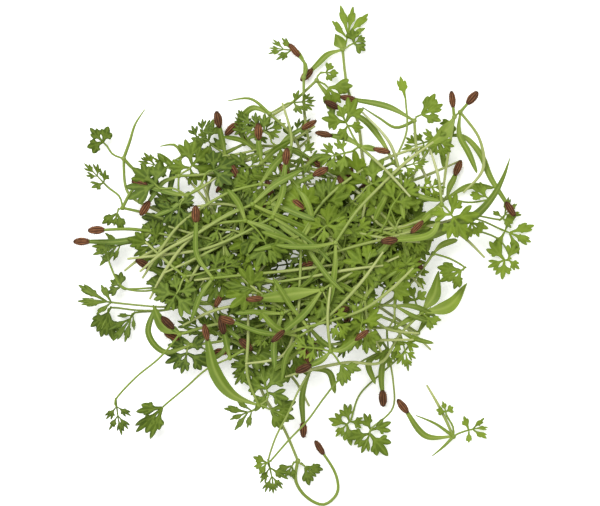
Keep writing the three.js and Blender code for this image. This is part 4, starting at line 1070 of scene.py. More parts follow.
@dataclass(frozen=True)
class BladeShape:
    """The real form of a true leaf: its lobes, its veins and its thin arched tissue."""

    # Its thickness, the rim's share of it and how wide the rim is, and the grid of its corners
    thickness: float = 0.16
    rim_share: float = 0.5
    edge: float = 0.3
    grid: float = 0.42
    margin: float = 0.16

    # Its rib, and its tissue, sunken at the veins and arched between them
    rib_width: float = 0.42
    rib_taper: float = 0.6
    rib_overlap: float = 0.3
    rib_vein_start: float = -0.2
    vein_reach: float = 0.2
    vein_below: float = 0.6
    arch: float = 0.09
    arch_reach: float = 0.55
    arch_power: float = 0.8

    # Its fold along the rib, and how its leaflets curl, tilt and blend
    fold: tuple = (0.7, 1.0)
    fold_share: float = 0.5
    curl: tuple = (-0.07, 0.05)
    tilt: tuple = (-0.22, 0.22)
    tilt_reach: float = 1.5
    blend: float = 0.45
    blend_growth: float = 0.35
    behind: float = 0.05
    least_weight: float = 1e-6

    # Where its leaflets start and end, and how uneven they are
    root_inside: float = 0.3
    root_reach: float = 0.7
    end_overlap: float = 0.2
    jitter: float = 10.0
    evenness: tuple = (0.88, 1.2)

    # A leaflet's middle lobe, and where the side lobes split off
    widest_lobe: float = 0.8
    middle_vein: float = 0.93
    split: float = 0.2

    # Its side lobes
    side_on: float = 0.8
    side_out: tuple = (0.75, 1.1)
    side_length: tuple = (0.84, 1.1)
    side_width: tuple = (0.78, 0.98)
    side_vein: float = 0.9

    # A long leaflet's outer lobes, which fork off the side lobes
    long_leaflet: float = 3.0
    outer_share: float = 0.75
    outer_fork: float = 0.25
    outer_on: float = 0.5
    outer_out: float = 1.1
    outer_length: tuple = (0.9, 1.1)
    outer_width: float = 0.62
    outer_vein: float = 0.85

    # A lobe's half width at shares of its length, over its greatest one
    lobe = np.array([[0, 0.35], [0.25, 0.62], [0.48, 0.9], [0.66, 1], [0.82, 0.8], [0.94, 0.42], [1, 0]])

    def lobe_outline(self, start: Array, end: Array, half_width: float) -> Array:
        """The outline of one lobe from its start to its tip."""
        way = end - start
        length = float(np.linalg.norm(way))
        way = way / length
        side = np.array([-way[1], way[0]])
        shares, sizes = self.lobe[:, 0:1], self.lobe[:, 1:2]
        right = start + way * shares * length - side * sizes * half_width
        left = start + way * shares * length + side * sizes * half_width
        return np.vstack([right, left[-2::-1]])

    def leaflet(self, root: Array, degrees: float, length: float, form: LeafForm, draws: Draws) -> tuple:
        """The lobes of one leaflet and the lines of its veins.

        Args:
            root: where it leaves the rib.
            degrees: its direction from the rib's.
            length: its length.
            form: the leaf's form.
            draws: the draws that make it uneven.

        Returns:
            The outlines of its lobes, and the start and end of each vein.
        """
        angle = math.radians(degrees + draws.between(-self.jitter, self.jitter))
        length *= draws.between(*self.evenness)
        way = np.array([math.cos(angle), math.sin(angle)])
        side = np.array([-way[1], way[0]])
        tip = root + way * length
        half = min(self.widest_lobe, form.slim * length * form.lobe)
        outlines = [self.lobe_outline(root, tip, half)]
        veins = [(root, root + way * length * self.middle_vein)]
        split = root + way * length * self.split
        for hand in (-1, 1):
            across = side * hand * form.slim * draws.between(*self.side_out)
            end = root + (way * self.side_on + across) * length * draws.between(*self.side_length)
            outlines.append(self.lobe_outline(split, end, half * draws.between(*self.side_width)))
            veins.append((split, split + (end - split) * self.side_vein))
            if length > self.long_leaflet and draws.one() < self.outer_share:
                fork = split + (end - split) * self.outer_fork
                direction = way * self.outer_on + across * self.outer_out
                outer = root + direction * length * draws.between(*self.outer_length)
                outlines.append(self.lobe_outline(fork, outer, half * self.outer_width))
                veins.append((fork, fork + (outer - fork) * self.outer_vein))
        return outlines, veins

    def plan(self, blade: Blade, draws: Draws) -> tuple:
        """All outlines and veins of a blade, along and across its rib.

        Args:
            blade: the blade as it is laid.
            draws: the draws that make it uneven.

        Returns:
            The outlines, the veins, and each leaflet's root and direction.
        """
        form, span = blade.form, blade.span
        half_rib = RIB_WIDTH / 2
        outlines, veins, leaflets = [], [], []
        end_root = (1 - form.end) * span
        start = 0.0
        places = []
        for at, degrees, share in form.pairs:
            start = max(at * span, start)
            root = np.array([start + LEAFLET_ROOT / 2, 0.0])
            length = share * span + half_rib * self.root_reach
            for hand in (-1, 1):
                places.append((root + [0, hand * half_rib * self.root_inside], hand * degrees, length))
            start += LEAFLET_ROOT
        last_root = max(end_root, start)
        end_length = span - last_root + self.end_overlap
        places.append((np.array([last_root - self.end_overlap, 0.0]), 0.0, end_length))
        for root, degrees, length in places:
            shapes, lines = self.leaflet(root, degrees, length, form, draws)
            outlines.extend(shapes)
            veins.extend(lines)
            leaflets.append((root, math.radians(degrees)))
        rib_end = last_root + self.rib_overlap
        rib = self.rib_width / 2
        thin = rib * self.rib_taper
        outlines.append(np.array([[-self.rib_overlap, -rib], [rib_end, -thin], [rib_end, thin],
                                  [-self.rib_overlap, rib]]))
        veins.append((np.array([self.rib_vein_start, 0.0]), np.array([rib_end, 0.0])))
        return outlines, veins, leaflets

    def add_to(self, draft: Draft, blade: Blade, draws: Draws) -> None:
        """Adds a blade with its lobes cut out, arched between its veins and thin towards its edges.

        Args:
            draft: the mesh that it goes into.
            blade: the blade as it is laid.
            draws: the draws for its small differences.
        """
        outlines, veins, leaflets = self.plan(blade, draws)
        uv, triangles, rim = filled(outlines, veins, self.grid, self.margin)
        to_rim = distance_to(uv, uv[rim])
        to_vein = distance_to(uv, np.array(veins))
        lift = self.arch * np.clip(to_vein / self.arch_reach, 0, 1) ** self.arch_power
        lift = lift + self.leaflet_lift(uv, leaflets, draws)
        full = np.clip(to_rim / self.edge, 0, 1) ** 0.5
        thick = self.thickness / 2 * (self.rim_share + (1 - self.rim_share) * full)
        narrow = draws.between(*self.fold)
        middle = blade.place(uv * [1, narrow])
        middle[:, 2] += lift + np.abs(uv[:, 1]) * math.sqrt(1 - narrow ** 2) * self.fold_share
        middle[:, 2] = np.maximum(middle[:, 2], self.thickness / 2)
        half = np.array([0, 0, 1.0]) * thick[:, None]
        start, end = rim.T
        below = len(uv)
        faces = np.vstack([
            triangles,
            triangles[:, ::-1] + below,
            np.column_stack([start, start + below, end + below]),
            np.column_stack([start, end + below, end]),
        ])
        vein = np.clip(1 - to_vein / self.vein_reach, 0, 1)
        draft.add(np.vstack([middle + half, middle - half]), faces, TRUE_LEAF_FINISH,
                  along=np.tile(uv[:, 0], 2) / blade.span, tone=lit_tone(blade.base, draws),
                  vein=np.append(vein, vein * self.vein_below))

    def leaflet_lift(self, uv: Array, leaflets: list, draws: Draws) -> Array:
        """How far each leaflet curls and tilts, blended where leaflets meet.

        Args:
            uv: places along and across the rib.
            leaflets: each leaflet's root and direction.
            draws: the draws for its curl and tilt.

        Returns:
            The height that is added at each place.
        """
        total = np.zeros(len(uv))
        weights = np.full(len(uv), self.least_weight)
        for root, angle in leaflets:
            way = np.array([math.cos(angle), math.sin(angle)])
            out = np.maximum(0, (uv - root) @ way)
            across = (uv - root) @ np.array([-way[1], way[0]])
            weight = np.exp(-(across / (self.blend + self.blend_growth * out)) ** 2)
            weight = weight * np.where(out > 0, 1, self.behind)
            curl, tilt = draws.between(*self.curl), draws.between(*self.tilt)
            tilted = tilt * across * np.clip(out, 0, self.tilt_reach) / self.tilt_reach
            total += weight * (curl * out ** 2 + tilted)
            weights += weight
        return total / weights


def distance_to(points: Array, lines: Array) -> Array:
    """The distance in plan from each point to the nearest of some straight lines.

    Args:
        points: the points, one a row.
        lines: the start and end of each line.

    Returns:
        The distances.
    """
    start, way = lines[:, 0], lines[:, 1] - lines[:, 0]
    squared = np.maximum((way ** 2).sum(axis=1), SMALLEST_SQUARE)
    offset = points[:, None, :] - start[None, :, :]
    share = np.clip((offset * way[None]).sum(axis=2) / squared[None], 0, 1)
    gap = offset - share[:, :, None] * way[None]
    return np.sqrt((gap ** 2).sum(axis=2)).min(axis=1)


def filled(outlines: list, veins: list, grid: float, margin: float) -> tuple:
    """Fills the union of some outlines with triangles, with corners on the veins and on an even grid.

    Args:
        outlines: closed outlines, each a list of corners.
        veins: the start and end of each vein.
        grid: the distance between the corners inside.
        margin: how far from the edge they stop.

    Returns:
        The corners, the triangles, and the numbers of the start and end of each edge of the rim.
    """
    corners, faces = [], []
    for outline in outlines:
        faces.append(list(range(len(corners), len(corners) + len(outline))))
        corners.extend(Vector(point) for point in outline)
    first = delaunay_2d_cdt(corners, [], faces, 1, MERGE_WITHIN, True)
    faces_inside = np.array([face for face, owner in zip(first[2], first[5]) if owner])
    rim = np.array([tuple(v) for v in first[0]])[rim_edges(faces_inside)]
    on_veins = [start + (end - start) * share for start, end in veins
                for share in np.linspace(0, 1, max(2, math.ceil(np.linalg.norm(end - start) / grid)))]
    low, high = rim.min(axis=(0, 1)), rim.max(axis=(0, 1))
    xs = np.arange(low[0], high[0], grid)
    ys = np.arange(low[1], high[1], grid * ROW_STEP)
    gx, gy = np.meshgrid(xs, ys)
    gx = gx + (np.arange(len(ys)) % 2)[:, None] * grid / 2
    inner = np.column_stack([gx.ravel(), gy.ravel()])
    inner = inner[distance_to(inner, np.array(veins)) > grid * VEIN_ROOM]
    inner = inner[distance_to(inner, rim) > margin]
    on_veins = np.array(on_veins)
    extra = np.vstack([on_veins[distance_to(on_veins, rim) > margin / 2], inner])
    corners.extend(Vector(point) for point in extra)
    second = delaunay_2d_cdt(corners, [], faces, 1, MERGE_WITHIN, True)
    points = np.array([tuple(v) for v in second[0]])
    triangles = np.array([face for face, owner in zip(second[2], second[5]) if owner and len(face) == 3])
    used, triangles = np.unique(triangles, return_inverse=True)
    points = points[used]
    triangles = triangles.reshape(-1, 3)
    a, b, c = (points[triangles[:, k]] for k in range(3))
    clockwise = (b[:, 0] - a[:, 0]) * (c[:, 1] - a[:, 1]) - (b[:, 1] - a[:, 1]) * (c[:, 0] - a[:, 0]) < 0
    triangles[clockwise] = triangles[clockwise][:, ::-1]
    return points, triangles, rim_edges(triangles)


def rim_edges(triangles: Array) -> Array:
    """The edges that only one triangle has, each from its start to its end as that triangle has it."""
    edges = np.vstack([triangles[:, [0, 1]], triangles[:, [1, 2]], triangles[:, [2, 0]]])
    there = {(int(start), int(end)) for start, end in edges}
    return np.array(sorted((start, end) for start, end in there if (end, start) not in there))


@dataclass(frozen=True)
class HuskShape:
    """A carrot seed's husk: a long oval, flatter below, with uneven ribs that bear short bristles."""

    ribs: int = 9
    sides: int = 36
    rows: int = 13

    # Its relief and its form over those of a smooth oval
    relief: float = 0.16
    flat_below: float = 0.75
    blunt: float = 0.5
    plumpness: tuple = (0.74, 1.06)
    unevenness: float = 0.07
    rough_seeds: int = 100000
    fullest: float = 1.04
    turn: tuple = (-0.6, 0.6)

    # Its bristles, which lean to its far end
    bristles: int = 54
    bristle_length: tuple = (0.18, 0.42)
    bristle_radius: float = 0.035
    bristle_taper: tuple = (1, 0.8, 0.4)
    bristle_root: float = -0.1
    bristle_lean: float = 0.5
    bristle_spread: tuple = (-0.2, 1)
    bristle_along: float = 0.5

    def add_to(self, draft: Draft, start: Array, end: Array, draws: Draws) -> tuple:
        """Adds a husk between its two ends.

        Args:
            draft: the mesh that it goes into.
            start: the end that holds the seed leaf.
            end: the other end.
            draws: the draws for its small differences.

        Returns:
            The rings of corners along the husk, and the middle of each.
        """
        share = (1 - np.cos(np.linspace(0, math.pi, self.rows + 2)[1:-1])) / 2
        centre = start + (end - start) * share[:, None]
        side, up = frames(centre, np.full(len(centre), draws.between(*self.turn)))
        around = np.linspace(0, 2 * math.pi, self.sides, endpoint=False)
        size = np.sin(math.pi * share) ** self.blunt
        rib = 0.5 + 0.5 * np.cos(around * self.ribs)
        chance = np.random.default_rng(draws.whole(self.rough_seeds))
        rough = chance.normal(0, self.unevenness, (self.rows, self.sides))
        rough = (np.roll(rough, 1, axis=0) + 2 * rough + np.roll(rough, -1, axis=0)) / 4
        out = size[:, None] * (1 - self.relief + self.relief * rib[None, :] + rough)
        out = np.minimum(out, self.fullest)
        below = np.where(np.sin(around) < 0, self.flat_below, 1)
        plump = draws.between(*self.plumpness)
        across = HUSK_WIDTH / 2 * plump * out * np.cos(around)[None, :]
        height = HUSK_THICKNESS / 2 * out * (np.sin(around) * below)[None, :]
        points = (centre[:, None, :] + side[:, None, :] * across[:, :, None]
                  + up[:, None, :] * height[:, :, None])
        draft.add(*closed_tube(points, start, end), 0, along=np.append(np.repeat(share, self.sides), [0, 1]),
                  tone=draws.one(), vein=np.append(np.tile(rib, self.rows), [0, 0]))
        return points, centre

    def add_bristles(self, lines: "TubePaths", rings: tuple, draws: Draws, owner: int) -> None:
        """Adds the lines of short bristles that stand on the ribs and lean towards the far end."""
        points, centre = rings
        way = unit(centre[-1] - centre[0])
        for _ in range(self.bristles):
            row = 1 + draws.whole(self.rows - 2)
            side = draws.whole(self.ribs) * self.sides // self.ribs
            root = points[row, side]
            lean = way * draws.between(*self.bristle_spread) * self.bristle_lean
            out = unit(unit(root - centre[row]) + lean)
            length = draws.between(*self.bristle_length)
            stations = root + out * np.array([[self.bristle_root], [length / 2], [length]])
            stations[:, 2] = np.maximum(stations[:, 2], self.bristle_radius)
            radii = self.bristle_radius * np.array(self.bristle_taper)
            lines.add(stations, radii, np.full(len(radii), self.bristle_along), draws.one(), owner)


@dataclass(frozen=True)
class CrownShape:
    """The small swelling where the stalks leave the stem."""

    radius: float = 0.5
    height: float = 0.42
    sides: int = 10
    rows: int = 5

    def add_to(self, draft: Draft, crown: Array, tone: float) -> None:
        """Adds a crown round its middle."""
        lean = np.linspace(-math.pi / 2, math.pi / 2, self.rows + 2)[1:-1]
        around = np.linspace(0, 2 * math.pi, self.sides, endpoint=False)
        level = np.cos(lean)[:, None] * np.ones(self.sides)
        points = np.stack([self.radius * level * np.cos(around), self.radius * level * np.sin(around),
                           self.height * np.sin(lean)[:, None] * np.ones(self.sides)], axis=-1)
        pole = np.array([0, 0, self.height])
        tube = closed_tube(points + crown, crown - pole, crown + pole)
        draft.add(*tube, STEM_FINISH, along=CROWN_ALONG, tone=tone)


def linear(colour: str) -> tuple[float, float, float, float]:
    """A linear colour with full alpha for an sRGB one like #6b8e23."""
    parts = [int(colour[i:i + 2], 16) / 255 for i in (1, 3, 5)]
    curve = [part / 12.92 if part <= 0.04045 else ((part + 0.055) / 1.055) ** 2.4 for part in parts]
    return (*curve, 1.0)


def set_inputs(node: Node, inputs: dict) -> None:
    """Gives each named or numbered input of a node its value, or a link from an output."""
    for key, value in inputs.items():
        if isinstance(value, NodeSocket):
            node.id_data.links.new(value, node.inputs[key])
        else:
            node.inputs[key].default_value = value


def add_node(tree: NodeTree, kind: str, inputs: dict | None = None,
             **settings: object) -> Node:
    """Adds a node with its settings, values and links.

    Args:
        tree: the tree that it goes into.
        kind: the node's type.
        inputs: a value or an output for each input, by the input's name or number.
        settings: the node's own properties.

    Returns:
        The node.
    """
    made = tree.nodes.new(kind)
    for name, value in settings.items():
        setattr(made, name, value)
    set_inputs(made, inputs or {})
    return made


class Join(Enum):
    """How the strengths of a layer's terms make one."""

    SUM = "ADD"
    PRODUCT = "MULTIPLY"


@dataclass(frozen=True)
class Term:
    """How strongly something shows, by one of the mesh's values or by a noise with patches so many mm wide.

    Its low and high are each a value of the source with the strength there, and it runs evenly between them.
    """

    source: str | float
    low: tuple = (0, 0)
    high: tuple = (1, 1)
    detail: float = 2.0

    def output(self, tree: NodeTree) -> NodeSocket:
        """The output that gives the strength."""
        if isinstance(self.source, str):
            read = add_node(tree, "ShaderNodeAttribute", attribute_name=self.source)
        else:
            inputs = {"Vector": add_node(tree, "ShaderNodeTexCoord").outputs["Object"],
                      "Scale": 1 / (self.source * MM), "Detail": self.detail}
            read = add_node(tree, "ShaderNodeTexNoise", inputs)
        inputs = {"Value": read.outputs["Fac"], "From Min": self.low[0], "From Max": self.high[0],
                  "To Min": self.low[1], "To Max": self.high[1]}
        return add_node(tree, "ShaderNodeMapRange", inputs).outputs["Result"]


@dataclass(frozen=True)
class Layer:
    """A colour laid over those before it, as strongly as its one or two terms say."""

    colour: str
    terms: tuple
    join: Join = Join.PRODUCT

    def over(self, tree: NodeTree, below: object) -> NodeSocket:
        """The output that gives the colour with this layer on it."""
        strength, *others = [term.output(tree) for term in self.terms]
        for other in others:
            inputs = {0: strength, 1: other}
            joined = add_node(tree, "ShaderNodeMath", inputs, operation=self.join.value, use_clamp=True)
            strength = joined.outputs["Value"]
        inputs = {"Factor": strength, 6: below, 7: linear(self.colour)}
        return add_node(tree, "ShaderNodeMix", inputs, data_type="RGBA").outputs[2]


@dataclass(frozen=True)
class Finish:
    """The surface of one kind of tissue: its colours, its fine relief and how it takes the light."""

    name: str
    base: str
    layers: tuple
    grain: Term
    bump_mm: float
    roughness: float
    specular: float
    subsurface: float = 0.0
    depth_mm: float = 0.3
    light_reach: tuple = (0.7, 1.0, 0.25)

    def material(self) -> Material:
        """The finish as a material."""
        made = bpy.data.materials.new(self.name)
        made.use_nodes = True
        tree = made.node_tree
        tree.nodes.clear()
        colour = linear(self.base)
        for layer in self.layers:
            colour = layer.over(tree, colour)
        relief = {"Height": self.grain.output(tree), "Distance": self.bump_mm * MM}
        surface = add_node(tree, "ShaderNodeBsdfPrincipled", {
            "Base Color": colour,
            "Roughness": self.roughness,
            "Specular IOR Level": self.specular,
            "Subsurface Weight": self.subsurface,
            "Subsurface Radius": self.light_reach,
            "Subsurface Scale": self.depth_mm * MM,
            "Normal": add_node(tree, "ShaderNodeBump", relief).outputs["Normal"],
        })
        add_node(tree, "ShaderNodeOutputMaterial", {"Surface": surface.outputs["BSDF"]})
        return made


# Leaf tissue is thin and soft, so it looks matt: fresher in some leaves and patches, paler on its veins
TRUE_LEAF = Finish(
    "carrot_leaf_tissue", "#304409",
    (Layer("#7B9225", (Term(TONE),)),
     Layer("#304409", (Term(2.4, (0.35, 0), (0.7, 0.45)),)),
     Layer("#869A3C", (Term(VEIN, (0.2, 0), (1, 0.4)),))),
    grain=Term(0.22, detail=1.0), bump_mm=0.03, roughness=0.62, specular=0.2, subsurface=0.04,
)

# Seed leaf tissue is thicker and smoother, so it shines a little: yellower, paler at its foot and groove
SEED_LEAF = Finish(
    "carrot_seed_leaf_tissue", "#4A6212",
    (Layer("#7D9130", (Term(TONE),)),
     Layer("#4A6212", (Term(4.0, (0.35, 0), (0.7, 0.4)),)),
     Layer("#98A64F", (Term(ALONG, (0, 0.55), (0.45, 0)),)),
     Layer("#98A64F", (Term(VEIN, (0, 0), (1, 0.5)),))),
    grain=Term(0.3, detail=1.0), bump_mm=0.02, roughness=0.55, specular=0.25, subsurface=0.05,
)

# Stems and stalks are watery and smooth: pale at the cut foot, green by the leaves, a few nearly white below
STEM_SKIN = Finish(
    "carrot_stem_tissue", "#A7AE6E",
    (Layer("#75892F", (Term(ALONG, (0.1, 0), (0.9, 1)), Term(TONE, (0, -0.3), (1, 0.3))), Join.SUM),
     Layer("#75892F", (Term(5.0, (0.4, 0), (0.75, 0.35)),)),
     Layer("#C9CBA9", (Term(TONE, (0.22, 0), (0.1, 1)), Term(ALONG, (0, 0.9), (0.7, 0))))),
    grain=Term(0.25, detail=1.0), bump_mm=0.02, roughness=0.5, specular=0.3, subsurface=0.08,
)

# A dry seed husk is corky and dull: brown on its ribs, nearly black in furrows, in patches and at both ends
HUSK_SKIN = Finish(
    "carrot_seed_husk", "#3B2110",
    (Layer("#8F5E3A", (Term(VEIN, (0.2, 0), (0.85, 1)),)),
     Layer("#3B2110", (Term(0.8, (0.4, 0), (0.7, 0.55), 3.0),)),
     Layer("#22140B", (Term(TONE, (0, 0.6), (0.6, 0)),)),
     Layer("#22140B", (Term(ALONG, (0.16, 0), (0, 0.85)), Term(ALONG, (0.84, 0), (1, 0.85))), Join.SUM)),
    grain=Term(0.12, detail=3.0), bump_mm=0.04, roughness=0.8, specular=0.25,
)


@dataclass
class Evaluated:
    """A finished mesh as plain arrays."""

    points: Array
    triangles: Array
    values: dict

    @classmethod
    def of(cls, mesh: Mesh) -> "Evaluated":
        """Reads a mesh's corners in millimetres, its triangles and its named values."""
        points = np.zeros(len(mesh.vertices) * 3)
        mesh.vertices.foreach_get("co", points)
        mesh.calc_loop_triangles()
        triangles = np.zeros(len(mesh.loop_triangles) * 3, dtype=np.int32)
        mesh.loop_triangles.foreach_get("vertices", triangles)
        values = {}
        for name in (*VALUE_NAMES, OWNER):
            column = np.zeros(len(mesh.vertices))
            if name in mesh.attributes:
                mesh.attributes[name].data.foreach_get("value", column)
            values[name] = column
        return cls(points.reshape(-1, 3) / MM, triangles.reshape(-1, 3), values)

    def of_owner(self, owner: int) -> tuple:
        """The corners, triangles and named values that belong to one owner."""
        mine = np.rint(self.values[OWNER]).astype(int) == owner
        number = np.cumsum(mine) - 1
        triangles = number[self.triangles[mine[self.triangles].all(axis=1)]]
        return self.points[mine], triangles, {name: self.values[name][mine] for name in VALUE_NAMES}


@dataclass
class TubePaths:
    """The middle lines of all round strands, which geometry nodes then give their thickness."""

    spacing: float = 0.8
    sides: int = 8
    lines: list = field(default_factory=list)

    def add(self, points: Array, radii: Array, along: Array, tone: float, owner: int) -> None:
        """Adds a line.

        Args:
            points: its stations.
            radii: the strand's radius at each of them.
            along: the share of its way from the cut foot to the leaves at each of them.
            tone: how green it is.
            owner: the number of the seedling that it belongs to.
        """
        self.lines.append((points, np.column_stack([radii * MM, along, np.full(len(points), tone),
                                                    np.full(len(points), owner)])))

    def tree(self) -> tuple:
        """The tree that gives the lines their thickness, and the identifiers of its inputs by name."""
        tree = bpy.data.node_groups.new("round_strands", "GeometryNodeTree")
        tree.interface.new_socket("Geometry", in_out="OUTPUT", socket_type="NodeSocketGeometry")
        kinds = {"Geometry": "Geometry", "Spacing": "Float", "Sides": "Int", "Finish": "Material"}
        sockets = {}
        for name, kind in kinds.items():
            socket = tree.interface.new_socket(name, in_out="INPUT", socket_type=f"NodeSocket{kind}")
            sockets[name] = socket.identifier
        start = add_node(tree, "NodeGroupInput").outputs
        line = add_node(tree, "GeometryNodeMeshToCurve", {"Mesh": start["Geometry"]})
        smooth = add_node(tree, "GeometryNodeCurveSplineType", {"Curve": line.outputs[0]},
                          spline_type="CATMULL_ROM")
        spaced = add_node(tree, "GeometryNodeResampleCurve",
                          {"Curve": smooth.outputs[0], "Length": start["Spacing"]}, mode="LENGTH")
        ring = add_node(tree, "GeometryNodeCurvePrimitiveCircle",
                        {"Resolution": start["Sides"], "Radius": 1.0})
        radius = add_node(tree, "GeometryNodeInputNamedAttribute", {"Name": RADIUS}, data_type="FLOAT")
        tube = add_node(tree, "GeometryNodeCurveToMesh", {
            "Curve": spaced.outputs[0], "Profile Curve": ring.outputs["Curve"],
            "Scale": radius.outputs["Attribute"], "Fill Caps": True,
        })
        real = add_node(tree, "GeometryNodeRealizeInstances", {"Geometry": tube.outputs[0]})
        dressed = add_node(tree, "GeometryNodeSetMaterial",
                           {"Geometry": real.outputs[0], "Material": start["Finish"]})
        add_node(tree, "NodeGroupOutput", {"Geometry": dressed.outputs[0]})
        return tree, sockets

    def tubes(self, finish: Material) -> Evaluated:
        """Makes the tubes of all lines at once."""
        source = self.source()
        modifier = source.modifiers.new("round_strands", "NODES")
        modifier.node_group, sockets = self.tree()
        inputs = {"Spacing": self.spacing * MM, "Sides": self.sides, "Finish": finish}
        for name, value in inputs.items():
            modifier[sockets[name]] = value
        depsgraph = bpy.context.evaluated_depsgraph_get()
        mesh = bpy.data.meshes.new_from_object(source.evaluated_get(depsgraph), depsgraph=depsgraph)
        source.modifiers.clear()
        result = Evaluated.of(mesh)
        lines = source.data
        bpy.data.objects.remove(source)
        for used in (mesh, lines):
            bpy.data.meshes.remove(used)
        return result

    def source(self) -> Object:
        """The lines as an object of edges, with their named values."""
        points = np.vstack([line for line, _ in self.lines]) * MM
        table = np.vstack([values for _, values in self.lines])
        starts = np.cumsum([0, *(len(line) for line, _ in self.lines)])
        edges = [(i, i + 1) for a, b in zip(starts, starts[1:]) for i in range(a, b - 1)]
        mesh = bpy.data.meshes.new("strand_lines")
        mesh.from_pydata(points.tolist(), edges, [])
        for column, name in enumerate((RADIUS, ALONG, TONE, OWNER)):
            attribute = mesh.attributes.new(name, "FLOAT", "POINT")
            attribute.data.foreach_set("value", np.ascontiguousarray(table[:, column], dtype=np.float32))
        made = bpy.data.objects.new("strand_lines", mesh)
        bpy.context.scene.collection.objects.link(made)
        return made


@dataclass
class RoundParts:
    """The real radii of the round strands, and how uneven and how green they are."""

    stem_foot: float = 0.32
    stem_crown: float = 0.26
    foot_end: float = 0.6
    stalk: float = 0.19
    stalk_along: tuple = (0.7, 0.95)

    # A blade's midrib: shares of the blade's length, the radii there, and how far below the blade it lies
    rib_places: tuple = (0.25, 0.5, 0.72)
    rib_radii: tuple = (0.16, 0.13, 0.07)
    rib_depth: float = 0.08

    # A thin seed leaf, its neck in a husk and its green
    thin_leaf: float = 0.32
    thin_tip: float = 0.1
    neck_share: float = 0.8
    husk_overlap: float = 0.8
    thin_along: float = 0.75
    thin_tone: float = 0.5
    wave: float = 0.3

    def add_stem(self, lines: TubePaths, strand: Strand, draws: Draws, owner: int) -> None:
        """Adds a stem, thickest at its cut foot."""
        points = self.waved(strand.points, draws)
        share = np.linspace(1, 0, len(points))
        radii = self.stem_foot + (self.stem_crown - self.stem_foot) * share
        radii[-1] *= self.foot_end
        lines.add(points, radii, share * CROWN_ALONG, 1 - lit_tone(points[0], draws), owner)

    def add_stalk(self, lines: TubePaths, blade: Blade, draws: Draws, owner: int) -> None:
        """Adds a stalk, carried on as the blade's midrib below it."""
        points = self.waved(blade.stalk.points, draws)
        rib = blade.place(np.array([[share, 0] for share in self.rib_places]) * blade.span)
        rib[:, 2] -= self.rib_depth
        radii = np.append(np.full(len(points), self.stalk), self.rib_radii)
        along = np.append(np.linspace(*self.stalk_along, len(points)), np.ones(len(rib)))
        lines.add(np.vstack([points, rib]), radii, along, draws.one(), owner)

    def add_thin_leaf(self, lines: TubePaths, strand: Strand, draws: Draws, owner: int) -> None:
        """Adds a seed leaf that is seen edge on or hasn't opened."""
        points = strand.points[:strand.own_count]
        share = np.linspace(0, 1, len(points))
        end = self.thin_tip
        if strand.husk is not BARE:
            end = self.thin_leaf * self.neck_share
            husk_start, husk_end = strand.points[-2:]
            points = np.vstack([points[:-1], husk_start + unit(husk_end - husk_start) * self.husk_overlap])
        radii = self.thin_leaf + (end - self.thin_leaf) * share ** 2
        along = self.thin_along + (1 - self.thin_along) * share
        lines.add(points, radii, along, self.thin_tone + (1 - self.thin_tone) * draws.one(), owner)

    def waved(self, points: Array, draws: Draws) -> Array:
        """The points with a slight unevenness sideways, but for their ends."""
        moved = points.copy()
        for i in range(1, len(points) - 1):
            moved[i, 0] += draws.between(-self.wave, self.wave)
            moved[i, 1] += draws.between(-self.wave, self.wave)
        return moved


@dataclass
class Greens:
    """All seedlings of the heap in their real form."""

    strap: StrapShape = StrapShape()
    blade: BladeShape = BladeShape()
    husk: HuskShape = HuskShape()
    crown: CrownShape = CrownShape()
    round_parts: RoundParts = field(default_factory=RoundParts)
    lines: TubePaths = field(default_factory=TubePaths)
    drafts: dict = field(default_factory=dict)
    husks: dict = field(default_factory=dict)
    bristles: TubePaths = field(default_factory=lambda: TubePaths(spacing=0.2, sides=3))

    def grow(self, owner: int, seedling: LaidSeedling, draws: Draws) -> None:
        """Drafts the real form of one seedling.

        Args:
            owner: the seedling's number.
            seedling: the seedling as it is laid.
            draws: the draws for its small differences.
        """
        draft = self.drafts.setdefault(owner, Draft())
        self.round_parts.add_stem(self.lines, seedling.stem, draws, owner)
        self.crown.add_to(draft, seedling.crown, draws.one())
        for strand in seedling.seed_leaves:
            if strand.form is THIN:
                self.round_parts.add_thin_leaf(self.lines, strand, draws, owner)
            else:
                self.strap.add_to(draft, strand, draws)
            if strand.husk is not BARE:
                start, end = strand.points[-2:]
                own = strand.husk is OWN
                target = self.husks.setdefault((owner, own), Draft())
                rings = self.husk.add_to(target, start, end, draws)
                self.husk.add_bristles(self.bristles, rings, draws, 2 * owner + own)
        for item in seedling.blades:
            self.round_parts.add_stalk(self.lines, item, draws, owner)
            self.blade.add_to(draft, item, draws)


